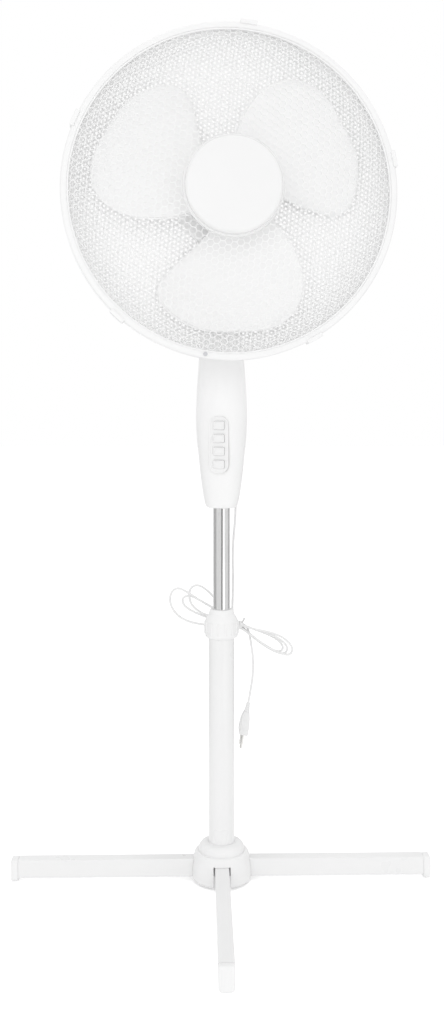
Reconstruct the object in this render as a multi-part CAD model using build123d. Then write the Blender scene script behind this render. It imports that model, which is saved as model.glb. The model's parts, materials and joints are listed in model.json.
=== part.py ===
from build123d import *
import math
import os

# Pedestal fan, in millimetres. The origin is on the floor under the pole, +Z is up, the front is -Y.

# Fits shared by all pieces
FIT = 0.05            # pieces that are pushed together
RUN = 0.08            # pins and shafts that turn in a bore
SLIDE = 0.3           # pieces that slide or turn past each other

# Cross base
FOOT_REACH = 275.0    # pole axis to the outer face of an end cap
FOOT_WIDTH = 18.0
FOOT_HEIGHT = 23.0
FOOT_WALL = 1.5
FOOT_TOP = 28.5       # height of the cross above the floor
CAP_LENGTH = 10.0
CAP_PLUG = 16.0       # the part of an end cap inside its tube
CAP_ROUND = 4.0
LAP_GAP = 0.2         # between the two half-lapped tubes
FLANGE_RADIUS = 30.0
FLANGE_THICK = 3.0
SPIGOT_HEIGHT = 22.0
SPIGOT_WALL = 3.0
SCREW_CIRCLE = 23.0   # pole axis to a base screw
SCREW_RADIUS = 2.5
SCREW_HEAD_RADIUS = 4.0
SCREW_HEAD_HEIGHT = 2.6
SCREW_REACH = 14.0

# Base cover
COVER_RADIUS = 39.5
COVER_FLOOR = 3.0
COVER_SHOULDER = 16.0
COVER_STEP_RADIUS = 28.5
COVER_STEP_HEIGHT = 43.5
COVER_STEP_RIM = 1.0
COVER_TOP = 55.0
COVER_WALL = 2.0
COVER_SLOT_GAP = 2.0
SHOULDER_BULGE_OUT = 2.2
SHOULDER_BULGE_UP = 3.0
CROWN_BULGE = 1.9

# Pole and clamp
POLE_RADIUS = 17.1
POLE_WALL = 1.5
POLE_TOP = 322.0
COLLET_DEPTH = 30.0   # the collet inside the pole
COLLET_RIM = 2.0
THREAD_RADIUS = 14.2
THREAD_LENGTH = 22.0
COLLET_SLIT = 1.6
COLLAR_BOTTOM = 316.5
COLLAR_TOP = 354.0
COLLAR_RADIUS = 22.0
COLLAR_NECK_RADIUS = 15.8
COLLAR_SKIRT_WALL = 1.6
COLLAR_LIP = 6.0      # depth of the lip that closes over the tube
GRIP_BOTTOM = 322.0
GRIP_TOP = 338.0
GRIP_SLOPE = (4.0, 7.0)  # how far the grip's shoulder goes in and up
COLLAR_RIM = (1.5, 3.0)   # the bevel at the top
RIB_COUNT = 14
RIB_HEIGHT = 1.0
RIB_ROOT = 1.0        # a rib's foot inside the collar
RIB_WIDTH = 2.4

# Inner tube
TUBE_RADIUS = 11.0
TUBE_WALL = 1.2
TUBE_BOTTOM = 145.0
GUIDE_LENGTH = 26.0
SOCKET_RADIUS = 15.0
SOCKET_LENGTH = 20.0

# Neck casing, turned about the pole so that the buttons face a little to the left
CASE_YAW = -8.0
CASE_BOTTOM = 487.0
CASE_TOP = 766.0
CASE_WALL = 2.5
CASE_SEAM = 0.1
CASE_BOTTOM_SIZE = (40.0, 37.0)
CASE_FOOT_SIZE = (46.5, 42.5)
CASE_HIP_SIZE = (57.0, 50.0)
CASE_WAIST_SIZE = (67.0, 57.0)
CASE_CHEST_SIZE = (58.6, 51.0)
CASE_NECK_SIZE = (50.0, 46.0)
CASE_TOP_SIZE = (44.0, 42.0)
CASE_FOOT_RISE = 12.0
CASE_HIP_RISE = 50.0
CASE_WAIST_RISE = 117.0
CASE_CHEST_RISE = 200.0
CASE_NECK_RISE = 245.0
CASE_SCREW_X = 18.0
CASE_SCREW_RISES = (153.0, 213.0)
CASE_BOSS_RADIUS = 3.6
CASE_SCREW_RADIUS = 1.6

# Push buttons
BUTTON_NAMES = ("stop", "low", "medium", "high")
BUTTON_PITCH = 16.7
BUTTON_MIDDLE = 570.5
BUTTON_WIDTH = 15.0
BUTTON_HEIGHT = 11.0
BUTTON_STAND = 4.5    # out of the panel
BUTTON_TRAVEL = 4.0
BUTTON_LIP = 0.8
BUTTON_LIP_THICK = 2.0
BUTTON_ROUND = 2.0
PANEL_WIDTH = 25.0
PANEL_CORNER = 11.5
PANEL_MARGIN = 12.0   # beyond the outer buttons' centres
PANEL_THICK = 3.2
PANEL_PROUD = 0.8     # in front of the casing's widest section
PANEL_SIDE_GAP = 0.15
BLOCK_WIDTH = 21.0
BLOCK_FLOOR = 2.0
BLOCK_SIDE = 3.0
BLOCK_ROUND = 6.0

# Tilt joint at the top of the casing
TILT_HEIGHT = 785.0
CLEVIS_RADIUS = 16.0
CLEVIS_DEPTH = 38.0   # the clevis below the top of the casing
CLEVIS_SOCKET = 22.0  # the inner tube's seat inside it
CLEVIS_LIFT = 5.0     # the clevis deck above the casing
EAR_THICK = 5.0
EAR_RADIUS = 12.0
TONGUE_HALF = 10.0
BOLT_RADIUS = 4.0
BOLT_HEAD_RADIUS = 7.0
BOLT_HEAD = 3.5
NUT_RADIUS = 8.0
NUT_THICK = 6.0
BOSS_RADIUS = 20.0
BOSS_BOTTOM = 801.0
BOSS_TOP = 815.0

# Head: "ahead" is measured from the neck axis towards the front
HEAD_HEIGHT = 878.0
HEAD_YAW = 4.0
GUARD_ROLL = -6.0
RING_AHEAD = 120.0
GUARD_RADIUS = 203.0
GUARD_WALL = 2.4
GUARD_DISH_GAP = 7.0  # ring's outer face to the guards' walls
RIM_FLANGE = 4.0
RING_WALL = 2.8
RING_LIP = 3.6
FRONT_DEPTH = 38.0    # ring plane to the front guard's middle
FRONT_BULGE = 9.5
REAR_DEPTH = 52.0     # ring plane to the rear guard's back
REAR_FLAT_RADIUS = 140.0
REAR_BULGE_OUT = 13.0
REAR_BULGE_BACK = 10.4
CELL_PITCH = 32.0
CELL_SIZE = 26.5      # across the flats
CELL_INNER = 66.0     # the honeycomb starts and ends at these radii
CELL_OUTER = 165.0
RIM_CELL_COUNT = 36
RIM_CELL_WIDTH = 25.0
RIM_CELL_INNER = 170.0
FRONT_CELL_OUTER = 190.0
REAR_CELL_OUTER = 183.0
SIDE_CELL_BACK = 91.0   # the rear guard's side openings, ahead of the neck axis
SIDE_CELL_FRONT = 111.0
CLIP_COUNT = 5
CLIP_START = 84.0     # degrees, seen from the front, from the right
CLIP_WIDTH = 20.0
CLIP_WALL = 2.6
RIM_SCREW_ANGLE = 261.0
RIM_SCREW_RADIUS = 1.3
RIM_SCREW_HEAD = 2.6
CAP_RADIUS = 57.5
CAP_DEPTH = 10.0
CAP_EDGE = 4.0

# Motor
PLATE_RADIUS = 56.0
PLATE_THICK = 4.0
NOSE_RADIUS = 19.0
NOSE_LENGTH = 12.0
LOCK_NUT_RADIUS = 32.0
LOCK_NUT_THICK = 7.0
BELL_RADIUS = 46.0
BELL_WALL = 3.6
BELL_BACK = -8.0      # ahead of the neck axis, so behind it
BELL_SPLIT = 25.0
STATOR_LENGTH = 26.0
AIR_GAP = 0.5
ROTOR_RADIUS = 21.7
COIL_INNER = 25.0
COIL_OUTER = 40.0
COIL_LENGTH = 10.0
BEARING_RADIUS = 10.0
BEARING_LENGTH = 9.0
SHAFT_RADIUS = 4.0
SHAFT_BACK = -36.0
PIVOT_RADIUS = 6.0
PIVOT_PLAY = 2.0      # below the pin's end
PIVOT_FLANGE_RADIUS = 18.0
PIVOT_FLANGE_THICK = 4.0
POST_HALF = 10.0
GEARBOX_WIDTH = 36.0
GEARBOX_BACK = -42.0
GEARBOX_TOP = 22.0
GEARBOX_BOTTOM = -16.0
MOTOR_COVER_RADIUS = 54.0
MOTOR_COVER_BACK = -62.0
MOTOR_COVER_BACK_RADIUS = 30.0
MOTOR_COVER_WALL = 2.2
MOTOR_COVER_BEND = 8.0
MOTOR_COVER_DOOR = 23.0
COVER_SCREW_RADIUS = 1.9
COVER_SCREW_HEAD = 4.0
COVER_BOSS_RADIUS = 5.0
KNOB_AHEAD = -24.0
KNOB_STEM = 3.5
KNOB_RADIUS = 7.0
KNOB_HEIGHT = 8.0
KNOB_TRAVEL = 8.0
KNOB_SEAT = 4.0       # the stem inside the gearbox

# Rotor
ROTOR_AHEAD = 100.0
HUB_RADIUS = 40.0
HUB_LENGTH = 28.0
HUB_WALL = 3.0
HUB_BOSS_RADIUS = 10.0
BLADE_COUNT = 3
BLADE_RADIUS = 170.0
BLADE_THICK = 2.4
BLADE_ROOT_PITCH = 20.0
BLADE_TIP_PITCH = 5.0
BLADE_MIDDLE = 37.0   # degrees, the middle line of the right-hand blade
BLADE_ROOT_LOW = 32.0   # degrees from the middle line to the root's lower end
BLADE_ROOT_HIGH = 54.0
BLADE_PLATE = 2.5     # width of the twisted plate over the blade's radius
BLADE_NUT_RADIUS = 18.0
BLADE_NUT_LENGTH = 12.0

# Mains cord
CORD_DIAMETER = 3.2
GLAND_START = Vector(15.5, 14.5, 516.0)
GLAND_WAY = Vector(0.15, 0.5, -0.853).normalized()
GLAND_INSIDE = 6.0
GLAND_LENGTH = 16.0
GLAND_RADIUS = 3.2
GLAND_TIP_RADIUS = 2.4
LAYER_PITCH = 3.9     # between neighbouring turns of the hank
HANK_FRONT = 30.0     # how far behind the pole's axis the first turn lies
TIE_X = 26.0
TIE_Z = 325.0
TIE_SLOPE = -30.0
TIE_LENGTH = 5.0
TIE_WALL = 0.8
TIE_GAP = 0.4
TIE_EDGE = 2.0
TIE_RUN = 6.0         # straight run each side of the tie
TIE_END = 3.0         # the hank's two ends, just outside the tie
LEAD_RUN = 13.0       # straight run out of the gland
TAIL_RUN = 8.0        # straight run out of the tie
BEND_SHARE = 0.45     # how much of a run each bend may take
PLUG_LENGTH = 28.0
PLUG_THICK = 12.0
PLUG_WIDTH = 30.0
PLUG_ROOT_THICK = 8.4
PLUG_CORNER = 3.6
PLUG_SHOULDER = 16.8
PLUG_NECK = 13.0
PLUG_NECK_RADIUS = 3.6
PLUG_PIN_RADIUS = 2.0
PLUG_PIN_LENGTH = 19.0
PLUG_PIN_PITCH = 18.6
PLUG_PIN_SEAT = 8.0

# Frames: the head and the casing are turned about the pole, and the head's z runs forwards
yaw = math.radians(HEAD_YAW)
HEAD = Plane(
    origin=(0, 0, HEAD_HEIGHT),
    x_dir=(math.cos(yaw), math.sin(yaw), 0),
    z_dir=(math.sin(yaw), -math.cos(yaw), 0),
).location
CASE = Location((0, 0, 0), (0, 0, CASE_YAW))
UP = (Align.CENTER, Align.CENTER, Align.MIN)

pieces = {}


def disc(outer, low, high, inner=0.0):
    """A round disc or ring about Z, between two heights."""
    body = Pos(0, 0, low) * Cylinder(outer, high - low, align=UP)
    if inner > 0:
        body -= Pos(0, 0, low) * Cylinder(inner, high - low, align=UP)
    return body


def turned(*edges):
    """A solid of revolution about Z from edges in the X-Z plane."""
    return revolve(make_face(Plane.XZ * Curve(children=list(edges))), Axis.Z)


def block(size_x, size_y, low, high, x=0.0, y=0.0):
    """A box between two heights."""
    return Pos(x, y, low) * Box(size_x, size_y, high - low, align=UP)


def bar(radius, start, way, length, end_radius=None):
    """A round bar or cone from a point along a direction."""
    plane = Plane(origin=start, z_dir=way)
    if end_radius is None:
        return plane.location * Cylinder(radius, length, align=UP)
    return plane.location * Cone(radius, end_radius, length, align=UP)


# Cross base: two tubes that lap half and half at the centre
FOOT_BOTTOM = FOOT_TOP - FOOT_HEIGHT
FOOT_MIDDLE = (FOOT_TOP + FOOT_BOTTOM) / 2
TUBE_REACH = FOOT_REACH - CAP_LENGTH


def cross_tube(lap_low, lap_high):
    """One tube of the cross along X, with its half of the lap cut away."""
    tube = block(2 * TUBE_REACH, FOOT_WIDTH, FOOT_BOTTOM, FOOT_TOP)
    tube = fillet(tube.edges().filter_by(Axis.X), FOOT_WALL)
    tube -= block(2 * TUBE_REACH, FOOT_WIDTH - 2 * FOOT_WALL, FOOT_BOTTOM + FOOT_WALL, FOOT_TOP - FOOT_WALL)
    tube -= block(FOOT_WIDTH + 2 * SLIDE, FOOT_WIDTH, lap_low, lap_high)
    for side in (-1, 1):
        tube -= Pos(side * SCREW_CIRCLE, 0, FOOT_MIDDLE) * Cylinder(SCREW_RADIUS + FIT, FOOT_HEIGHT, align=UP)
    return tube


def end_cap():
    """The right-hand end cap: a foot that reaches the floor and a plug inside the tube."""
    foot = block(CAP_LENGTH, FOOT_WIDTH, 0, FOOT_TOP, x=TUBE_REACH + CAP_LENGTH / 2)
    outer_edges = foot.edges().filter_by(Axis.Z).group_by(Axis.X)[-1]
    foot = fillet(outer_edges, CAP_ROUND)
    inside = FOOT_WALL + FIT
    plug = block(
        CAP_PLUG, FOOT_WIDTH - 2 * inside, FOOT_BOTTOM + inside, FOOT_TOP - inside, x=TUBE_REACH - CAP_PLUG / 2
    )
    return foot + plug


pieces["cross_tube_x"] = cross_tube(FOOT_MIDDLE - LAP_GAP / 2, FOOT_TOP)
pieces["cross_tube_y"] = Rot(0, 0, 90) * cross_tube(FOOT_BOTTOM, FOOT_MIDDLE + LAP_GAP / 2)
for name, turn in (("right", 0), ("rear", 90), ("left", 180), ("front", 270)):
    pieces["end_cap_" + name] = Rot(0, 0, turn) * end_cap()

# Pole flange and its screws
POLE_BOTTOM = FOOT_TOP + FLANGE_THICK
POLE_BORE = POLE_RADIUS - POLE_WALL
SPIGOT_RADIUS = POLE_BORE - FIT
screw_spots = PolarLocations(SCREW_CIRCLE, 4)

flange = disc(FLANGE_RADIUS, FOOT_TOP, POLE_BOTTOM)
flange += disc(SPIGOT_RADIUS, POLE_BOTTOM, POLE_BOTTOM + SPIGOT_HEIGHT)
flange -= disc(SPIGOT_RADIUS - SPIGOT_WALL, FOOT_TOP, POLE_BOTTOM + SPIGOT_HEIGHT)
for spot in screw_spots:
    flange -= spot * disc(SCREW_RADIUS + FIT, FOOT_TOP, POLE_BOTTOM)
pieces["pole_flange"] = flange

base_screw = disc(SCREW_RADIUS, SCREW_REACH, POLE_BOTTOM)
base_screw += disc(SCREW_HEAD_RADIUS, POLE_BOTTOM, POLE_BOTTOM + SCREW_HEAD_HEIGHT)
pieces["base_screws"] = [spot * base_screw for spot in screw_spots]


# Base cover: a stepped dome over the crossing
def dome(inset):
    """The dome's body, drawn in by an inset from its outer face."""
    low = COVER_RADIUS - inset
    step = COVER_STEP_RADIUS - inset
    step_z = COVER_STEP_HEIGHT - inset
    top = POLE_RADIUS + SLIDE
    shoulder = ThreePointArc(
        (low, COVER_SHOULDER),
        ((low + step) / 2 + SHOULDER_BULGE_OUT, (COVER_SHOULDER + step_z) / 2 + SHOULDER_BULGE_UP),
        (step, step_z),
    )
    crown_z = COVER_TOP - inset
    rim_z = step_z + COVER_STEP_RIM
    crown = ThreePointArc(
        (step, rim_z),
        ((step + top) / 2 + CROWN_BULGE, (step_z + crown_z) / 2 + CROWN_BULGE),
        (top, crown_z),
    )
    return turned(
        Line((0, COVER_FLOOR), (low, COVER_FLOOR)),
        Line((low, COVER_FLOOR), (low, COVER_SHOULDER)),
        shoulder,
        Line((step, step_z), (step, rim_z)),
        crown,
        Line((top, crown_z), (0, crown_z)),
        Line((0, crown_z), (0, COVER_FLOOR)),
    )


slot = block(
    2 * COVER_RADIUS, FOOT_WIDTH + 2 * COVER_SLOT_GAP, COVER_FLOOR, FOOT_TOP + COVER_SLOT_GAP, x=COVER_RADIUS
)
cover = dome(0) - dome(COVER_WALL) - disc(POLE_RADIUS + SLIDE, COVER_FLOOR, COVER_TOP)
for turn in range(4):
    cover -= Rot(0, 0, 90 * turn) * slot
pieces["base_cover"] = cover

# Pole, collet and collar nut
pieces["pole"] = disc(POLE_RADIUS, POLE_BOTTOM, POLE_TOP, POLE_BORE)

TUBE_BORE = TUBE_RADIUS + SLIDE
THREAD_BOTTOM = POLE_TOP + COLLET_RIM
THREAD_TOP = THREAD_BOTTOM + THREAD_LENGTH
collet = disc(POLE_BORE - FIT, POLE_TOP - COLLET_DEPTH, POLE_TOP)
collet += disc(POLE_RADIUS, POLE_TOP, THREAD_BOTTOM)
collet += disc(THREAD_RADIUS, THREAD_BOTTOM, THREAD_TOP)
collet -= disc(TUBE_BORE, POLE_TOP - COLLET_DEPTH, THREAD_TOP)
for turn in (0, 90):
    collet -= Rot(0, 0, turn) * block(2 * THREAD_RADIUS, COLLET_SLIT, THREAD_BOTTOM + COLLET_RIM, THREAD_TOP)
pieces["clamp_collet"] = collet

SKIRT_BORE = POLE_RADIUS + SLIDE
SKIRT_RADIUS = SKIRT_BORE + COLLAR_SKIRT_WALL
collar = turned(
    Polyline(
        (0, COLLAR_BOTTOM),
        (SKIRT_RADIUS, COLLAR_BOTTOM),
        (COLLAR_RADIUS, GRIP_BOTTOM),
        (COLLAR_RADIUS, GRIP_TOP),
        (COLLAR_RADIUS - GRIP_SLOPE[0], GRIP_TOP + GRIP_SLOPE[1]),
        (COLLAR_NECK_RADIUS, COLLAR_TOP - COLLAR_RIM[1]),
        (COLLAR_NECK_RADIUS - COLLAR_RIM[0], COLLAR_TOP),
        (0, COLLAR_TOP),
        (0, COLLAR_BOTTOM),
    )
)
rib = block(RIB_HEIGHT + RIB_ROOT, RIB_WIDTH, GRIP_BOTTOM, GRIP_TOP)
for spot in PolarLocations(COLLAR_RADIUS + (RIB_HEIGHT - RIB_ROOT) / 2, RIB_COUNT):
    collar += spot * rib
collar -= disc(SKIRT_BORE, COLLAR_BOTTOM, THREAD_BOTTOM + SLIDE)
collar -= disc(THREAD_RADIUS + SLIDE, COLLAR_BOTTOM, max(THREAD_TOP + SLIDE, COLLAR_TOP - COLLAR_LIP))
collar -= disc(TUBE_BORE, COLLAR_BOTTOM, COLLAR_TOP)
pieces["collar_nut"] = collar

# Inner tube, its guide and its socket in the casing
TUBE_TOP = CASE_TOP - CLEVIS_DEPTH + CLEVIS_SOCKET
pieces["inner_tube"] = disc(TUBE_RADIUS, TUBE_BOTTOM, TUBE_TOP, TUBE_RADIUS - TUBE_WALL)
pieces["tube_guide"] = disc(POLE_BORE - SLIDE, TUBE_BOTTOM, TUBE_BOTTOM + GUIDE_LENGTH, TUBE_RADIUS + FIT)
CASE_FLOOR = CASE_BOTTOM + CASE_WALL
pieces["tube_socket"] = disc(SOCKET_RADIUS, CASE_FLOOR, CASE_FLOOR + SOCKET_LENGTH, TUBE_RADIUS + FIT)


# Neck casing: two half shells lofted through ovals
def casing_body(inset):
    """The casing's oval body, drawn in by an inset from its outer face."""
    stations = (
        (inset, CASE_BOTTOM_SIZE),
        (CASE_FOOT_RISE, CASE_FOOT_SIZE),
        (CASE_HIP_RISE, CASE_HIP_SIZE),
        (CASE_WAIST_RISE, CASE_WAIST_SIZE),
        (CASE_CHEST_RISE, CASE_CHEST_SIZE),
        (CASE_NECK_RISE, CASE_NECK_SIZE),
        (CASE_TOP - CASE_BOTTOM - inset, CASE_TOP_SIZE),
    )
    ovals = [
        Pos(0, 0, CASE_BOTTOM + rise) * Ellipse(size[0] / 2 - inset, size[1] / 2 - inset)
        for rise, size in stations
    ]
    return loft(ovals)


def front_half(body):
    """The part of a body in front of the casing's seam."""
    size = 2 * CASE_WAIST_SIZE[0]
    return body & block(size, size, 0, TILT_HEIGHT, y=-size / 2 - CASE_SEAM / 2)


def rear_half(body):
    """The part of a body behind the casing's seam."""
    size = 2 * CASE_WAIST_SIZE[0]
    return body & block(size, size, 0, TILT_HEIGHT, y=size / 2 + CASE_SEAM / 2)


def across(radius, x, z, y_from, y_to):
    """A round bar along Y in the casing's frame."""
    return bar(radius, (x, y_from, z), (0, 1, 0), y_to - y_from)


case_room = casing_body(CASE_WALL)
casing = casing_body(0) - case_room
casing -= disc(TUBE_BORE, CASE_BOTTOM, CASE_FLOOR)
casing -= disc(CLEVIS_RADIUS + FIT, CASE_TOP - CASE_WALL, CASE_TOP)

CASE_DEPTH = CASE_WAIST_SIZE[1]
SCREW_TIP = -CASE_DEPTH / 4
screw_holes = []
case_screws = []
for side in (-1, 1):
    for rise in CASE_SCREW_RISES:
        x = side * CASE_SCREW_X
        z = CASE_BOTTOM + rise
        casing += across(CASE_BOSS_RADIUS, x, z, -CASE_DEPTH / 2, CASE_DEPTH / 2) & case_room
        screw_holes.append(across(CASE_SCREW_RADIUS + FIT, x, z, SCREW_TIP, CASE_DEPTH))
        screw_holes.append(across(2 * CASE_SCREW_RADIUS, x, z, CASE_DEPTH / 8, CASE_DEPTH))
        screw = across(CASE_SCREW_RADIUS, x, z, SCREW_TIP + FIT, CASE_DEPTH / 8)
        screw += across(2 * CASE_SCREW_RADIUS - FIT, x, z, CASE_DEPTH / 8, CASE_DEPTH / 8 + CASE_SCREW_RADIUS)
        case_screws.append(CASE * screw)
for hole in screw_holes:
    casing -= hole
pieces["casing_screws"] = case_screws

# Button panel, switch block and the four push buttons
PANEL_FRONT = -CASE_DEPTH / 2 - PANEL_PROUD
PANEL_BACK = PANEL_FRONT + PANEL_THICK
PANEL_HEIGHT = (len(BUTTON_NAMES) - 1) * BUTTON_PITCH + 2 * PANEL_MARGIN
BLOCK_BACK = -TUBE_RADIUS - SLIDE
POCKET_BACK = BLOCK_BACK - BLOCK_FLOOR
BLOCK_HEIGHT = PANEL_HEIGHT - BLOCK_SIDE
button_heights = [
    BUTTON_MIDDLE + (index - (len(BUTTON_NAMES) - 1) / 2) * BUTTON_PITCH for index in range(len(BUTTON_NAMES))
]


def slab(width, height, y_from, y_to, z, corner=None):
    """An upright plate in the casing's frame, between two depths."""
    outline = Rectangle(width, height) if corner is None else RectangleRounded(width, height, corner)
    return Pos(0, y_to, z) * Rot(90, 0, 0) * extrude(outline, y_to - y_from)


panel = slab(PANEL_WIDTH, PANEL_HEIGHT, PANEL_FRONT, PANEL_BACK, BUTTON_MIDDLE, PANEL_CORNER)
switch = slab(BLOCK_WIDTH, BLOCK_HEIGHT, PANEL_BACK, BLOCK_BACK, BUTTON_MIDDLE, BLOCK_ROUND)
panel_hole = slab(
    PANEL_WIDTH + 2 * PANEL_SIDE_GAP,
    PANEL_HEIGHT + 2 * PANEL_SIDE_GAP,
    2 * PANEL_FRONT,
    BLOCK_BACK,
    BUTTON_MIDDLE,
    PANEL_CORNER,
)
for name, z in zip(BUTTON_NAMES, button_heights):
    mouth = slab(BUTTON_WIDTH + 2 * SLIDE, BUTTON_HEIGHT + 2 * SLIDE, PANEL_FRONT, PANEL_BACK, z, BUTTON_ROUND)
    lip_width = BUTTON_WIDTH + 2 * BUTTON_LIP
    lip_height = BUTTON_HEIGHT + 2 * BUTTON_LIP
    pocket = slab(lip_width + 2 * SLIDE, lip_height + 2 * SLIDE, PANEL_BACK, POCKET_BACK, z)
    panel -= mouth
    switch -= pocket
    lip_front = PANEL_BACK + SLIDE
    lip_back = lip_front + BUTTON_LIP_THICK
    button = slab(BUTTON_WIDTH, BUTTON_HEIGHT, PANEL_FRONT - BUTTON_STAND, lip_front, z, BUTTON_ROUND)
    button += slab(lip_width, lip_height, lip_front, lip_back, z)
    button += across(BUTTON_LIP_THICK, 0, z, lip_back, POCKET_BACK - BUTTON_TRAVEL - SLIDE)
    pieces["button_" + name] = CASE * button
pieces["button_panel"] = CASE * panel
pieces["switch_block"] = CASE * switch

# The gland goes through the rear shell, low on the right
gland_base = GLAND_START - GLAND_WAY * GLAND_INSIDE
gland = bar(GLAND_RADIUS, gland_base, GLAND_WAY, GLAND_INSIDE + GLAND_LENGTH / 2)
gland_middle = GLAND_START + GLAND_WAY * (GLAND_LENGTH / 2)
gland += bar(GLAND_RADIUS, gland_middle, GLAND_WAY, GLAND_LENGTH / 2, GLAND_TIP_RADIUS)
pieces["cord_gland"] = gland
gland_hole = CASE.inverse() * bar(GLAND_RADIUS + FIT, gland_base, GLAND_WAY, GLAND_INSIDE + GLAND_LENGTH)

pieces["casing_front"] = CASE * (front_half(casing) - panel_hole)
pieces["casing_rear"] = CASE * (rear_half(casing) - gland_hole)

# Tilt joint: a clevis on the inner tube, a bolt and a tongue
CLEVIS_DECK = CASE_TOP + CLEVIS_LIFT
EAR_INNER = TONGUE_HALF + SLIDE
EAR_OUTER = EAR_INNER + EAR_THICK


def sideways(radius, x_from, x_to):
    """A round bar along X on the tilt axis."""
    return bar(radius, (x_from, 0, TILT_HEIGHT), (1, 0, 0), x_to - x_from)


clevis = disc(CLEVIS_RADIUS, CASE_TOP - CLEVIS_DEPTH, CLEVIS_DECK)
clevis -= disc(TUBE_RADIUS + FIT, CASE_TOP - CLEVIS_DEPTH, TUBE_TOP)
for x_from in (-EAR_OUTER, EAR_INNER):
    clevis += sideways(EAR_RADIUS, x_from, x_from + EAR_THICK)
    clevis += block(EAR_THICK, 2 * EAR_RADIUS, CLEVIS_DECK, TILT_HEIGHT, x=x_from + EAR_THICK / 2)
clevis -= sideways(BOLT_RADIUS + FIT, -EAR_OUTER, EAR_OUTER)
pieces["neck_clevis"] = CASE * clevis

bolt = sideways(BOLT_RADIUS, -EAR_OUTER, EAR_OUTER + NUT_THICK)
bolt += sideways(BOLT_HEAD_RADIUS, -EAR_OUTER - BOLT_HEAD, -EAR_OUTER)
pieces["tilt_bolt"] = CASE * bolt
nut = Pos(EAR_OUTER, 0, TILT_HEIGHT) * Rot(0, 90, 0) * extrude(RegularPolygon(NUT_RADIUS, 6), NUT_THICK)
pieces["tilt_nut"] = CASE * (nut - sideways(BOLT_RADIUS + FIT, EAR_OUTER, EAR_OUTER + NUT_THICK))

bracket = sideways(EAR_RADIUS, -TONGUE_HALF, TONGUE_HALF)
bracket += block(2 * TONGUE_HALF, 2 * EAR_RADIUS, TILT_HEIGHT, BOSS_BOTTOM)
bracket += disc(BOSS_RADIUS, BOSS_BOTTOM, BOSS_TOP)
bracket -= sideways(BOLT_RADIUS + RUN, -TONGUE_HALF, TONGUE_HALF)
bracket -= disc(PIVOT_RADIUS + RUN, BOSS_BOTTOM, BOSS_TOP)
pieces["tilt_bracket"] = CASE * bracket

# Motor: two bells around the stator, bearings, and the plate that carries the guards
BACK_AHEAD = RING_AHEAD - REAR_DEPTH
PLATE_BACK = BACK_AHEAD - PLATE_THICK
BELL_BORE = BELL_RADIUS - BELL_WALL
STATOR_RADIUS = BELL_BORE - FIT
STATOR_BACK = BELL_SPLIT - STATOR_LENGTH / 2
STATOR_FRONT = BELL_SPLIT + STATOR_LENGTH / 2

front_bell = disc(BELL_RADIUS, BELL_SPLIT, PLATE_BACK) - disc(BELL_BORE, BELL_SPLIT, PLATE_BACK - BELL_WALL)
front_bell += disc(BEARING_RADIUS + BELL_WALL, PLATE_BACK - BEARING_LENGTH, PLATE_BACK)
front_bell -= disc(BEARING_RADIUS + FIT, BELL_SPLIT, PLATE_BACK)
pieces["motor_front_bell"] = HEAD * front_bell

rear_bell = disc(BELL_RADIUS, BELL_BACK, BELL_SPLIT) - disc(BELL_BORE, BELL_BACK + BELL_WALL, BELL_SPLIT)
rear_bell += disc(BEARING_RADIUS + BELL_WALL, BELL_BACK, BELL_BACK + BEARING_LENGTH)
rear_bell -= disc(BEARING_RADIUS + FIT, BELL_BACK, BELL_SPLIT)
PIVOT_TOP = BOSS_TOP + SLIDE
post_low = PIVOT_TOP + PIVOT_FLANGE_THICK
post = block(2 * POST_HALF, POST_HALF, post_low, HEAD_HEIGHT)
post = HEAD.inverse() * (Rot(0, 0, HEAD_YAW) * post) - disc(BELL_RADIUS - BELL_WALL / 2, BELL_BACK, BELL_SPLIT)
pivot = disc(PIVOT_FLANGE_RADIUS, PIVOT_TOP, post_low)
pivot += disc(PIVOT_RADIUS, BOSS_BOTTOM + PIVOT_PLAY, PIVOT_TOP)
pieces["motor_rear_bell"] = HEAD * (rear_bell + post) + pivot

pieces["stator_core"] = HEAD * disc(STATOR_RADIUS, STATOR_BACK, STATOR_FRONT, ROTOR_RADIUS + AIR_GAP)
pieces["stator_coils"] = [
    HEAD * disc(COIL_OUTER, STATOR_BACK - COIL_LENGTH, STATOR_BACK, COIL_INNER),
    HEAD * disc(COIL_OUTER, STATOR_FRONT, STATOR_FRONT + COIL_LENGTH, COIL_INNER),
]
pieces["front_bearing"] = HEAD * disc(BEARING_RADIUS, PLATE_BACK - BEARING_LENGTH, PLATE_BACK, SHAFT_RADIUS + RUN)
pieces["rear_bearing"] = HEAD * disc(BEARING_RADIUS, BELL_BACK, BELL_BACK + BEARING_LENGTH, SHAFT_RADIUS + RUN)

plate = disc(PLATE_RADIUS, PLATE_BACK, BACK_AHEAD) + disc(NOSE_RADIUS, BACK_AHEAD, BACK_AHEAD + NOSE_LENGTH)
pieces["motor_plate"] = HEAD * (plate - disc(SHAFT_RADIUS + SLIDE, PLATE_BACK, BACK_AHEAD + NOSE_LENGTH))

# Oscillation gearbox behind the motor, with its pull knob
gearbox = Pos(0, (GEARBOX_TOP + GEARBOX_BOTTOM) / 2, GEARBOX_BACK) * Box(
    GEARBOX_WIDTH, GEARBOX_TOP - GEARBOX_BOTTOM, BELL_BACK - GEARBOX_BACK, align=UP
)
gearbox -= disc(SHAFT_RADIUS + SLIDE, SHAFT_BACK - SLIDE, BELL_BACK)
gearbox -= disc(COVER_SCREW_RADIUS + FIT, GEARBOX_BACK, SHAFT_BACK - SLIDE)


def upright(radius, low, high, ahead):
    """A round bar along the head's vertical."""
    return bar(radius, (0, low, ahead), (0, 1, 0), high - low)


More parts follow.
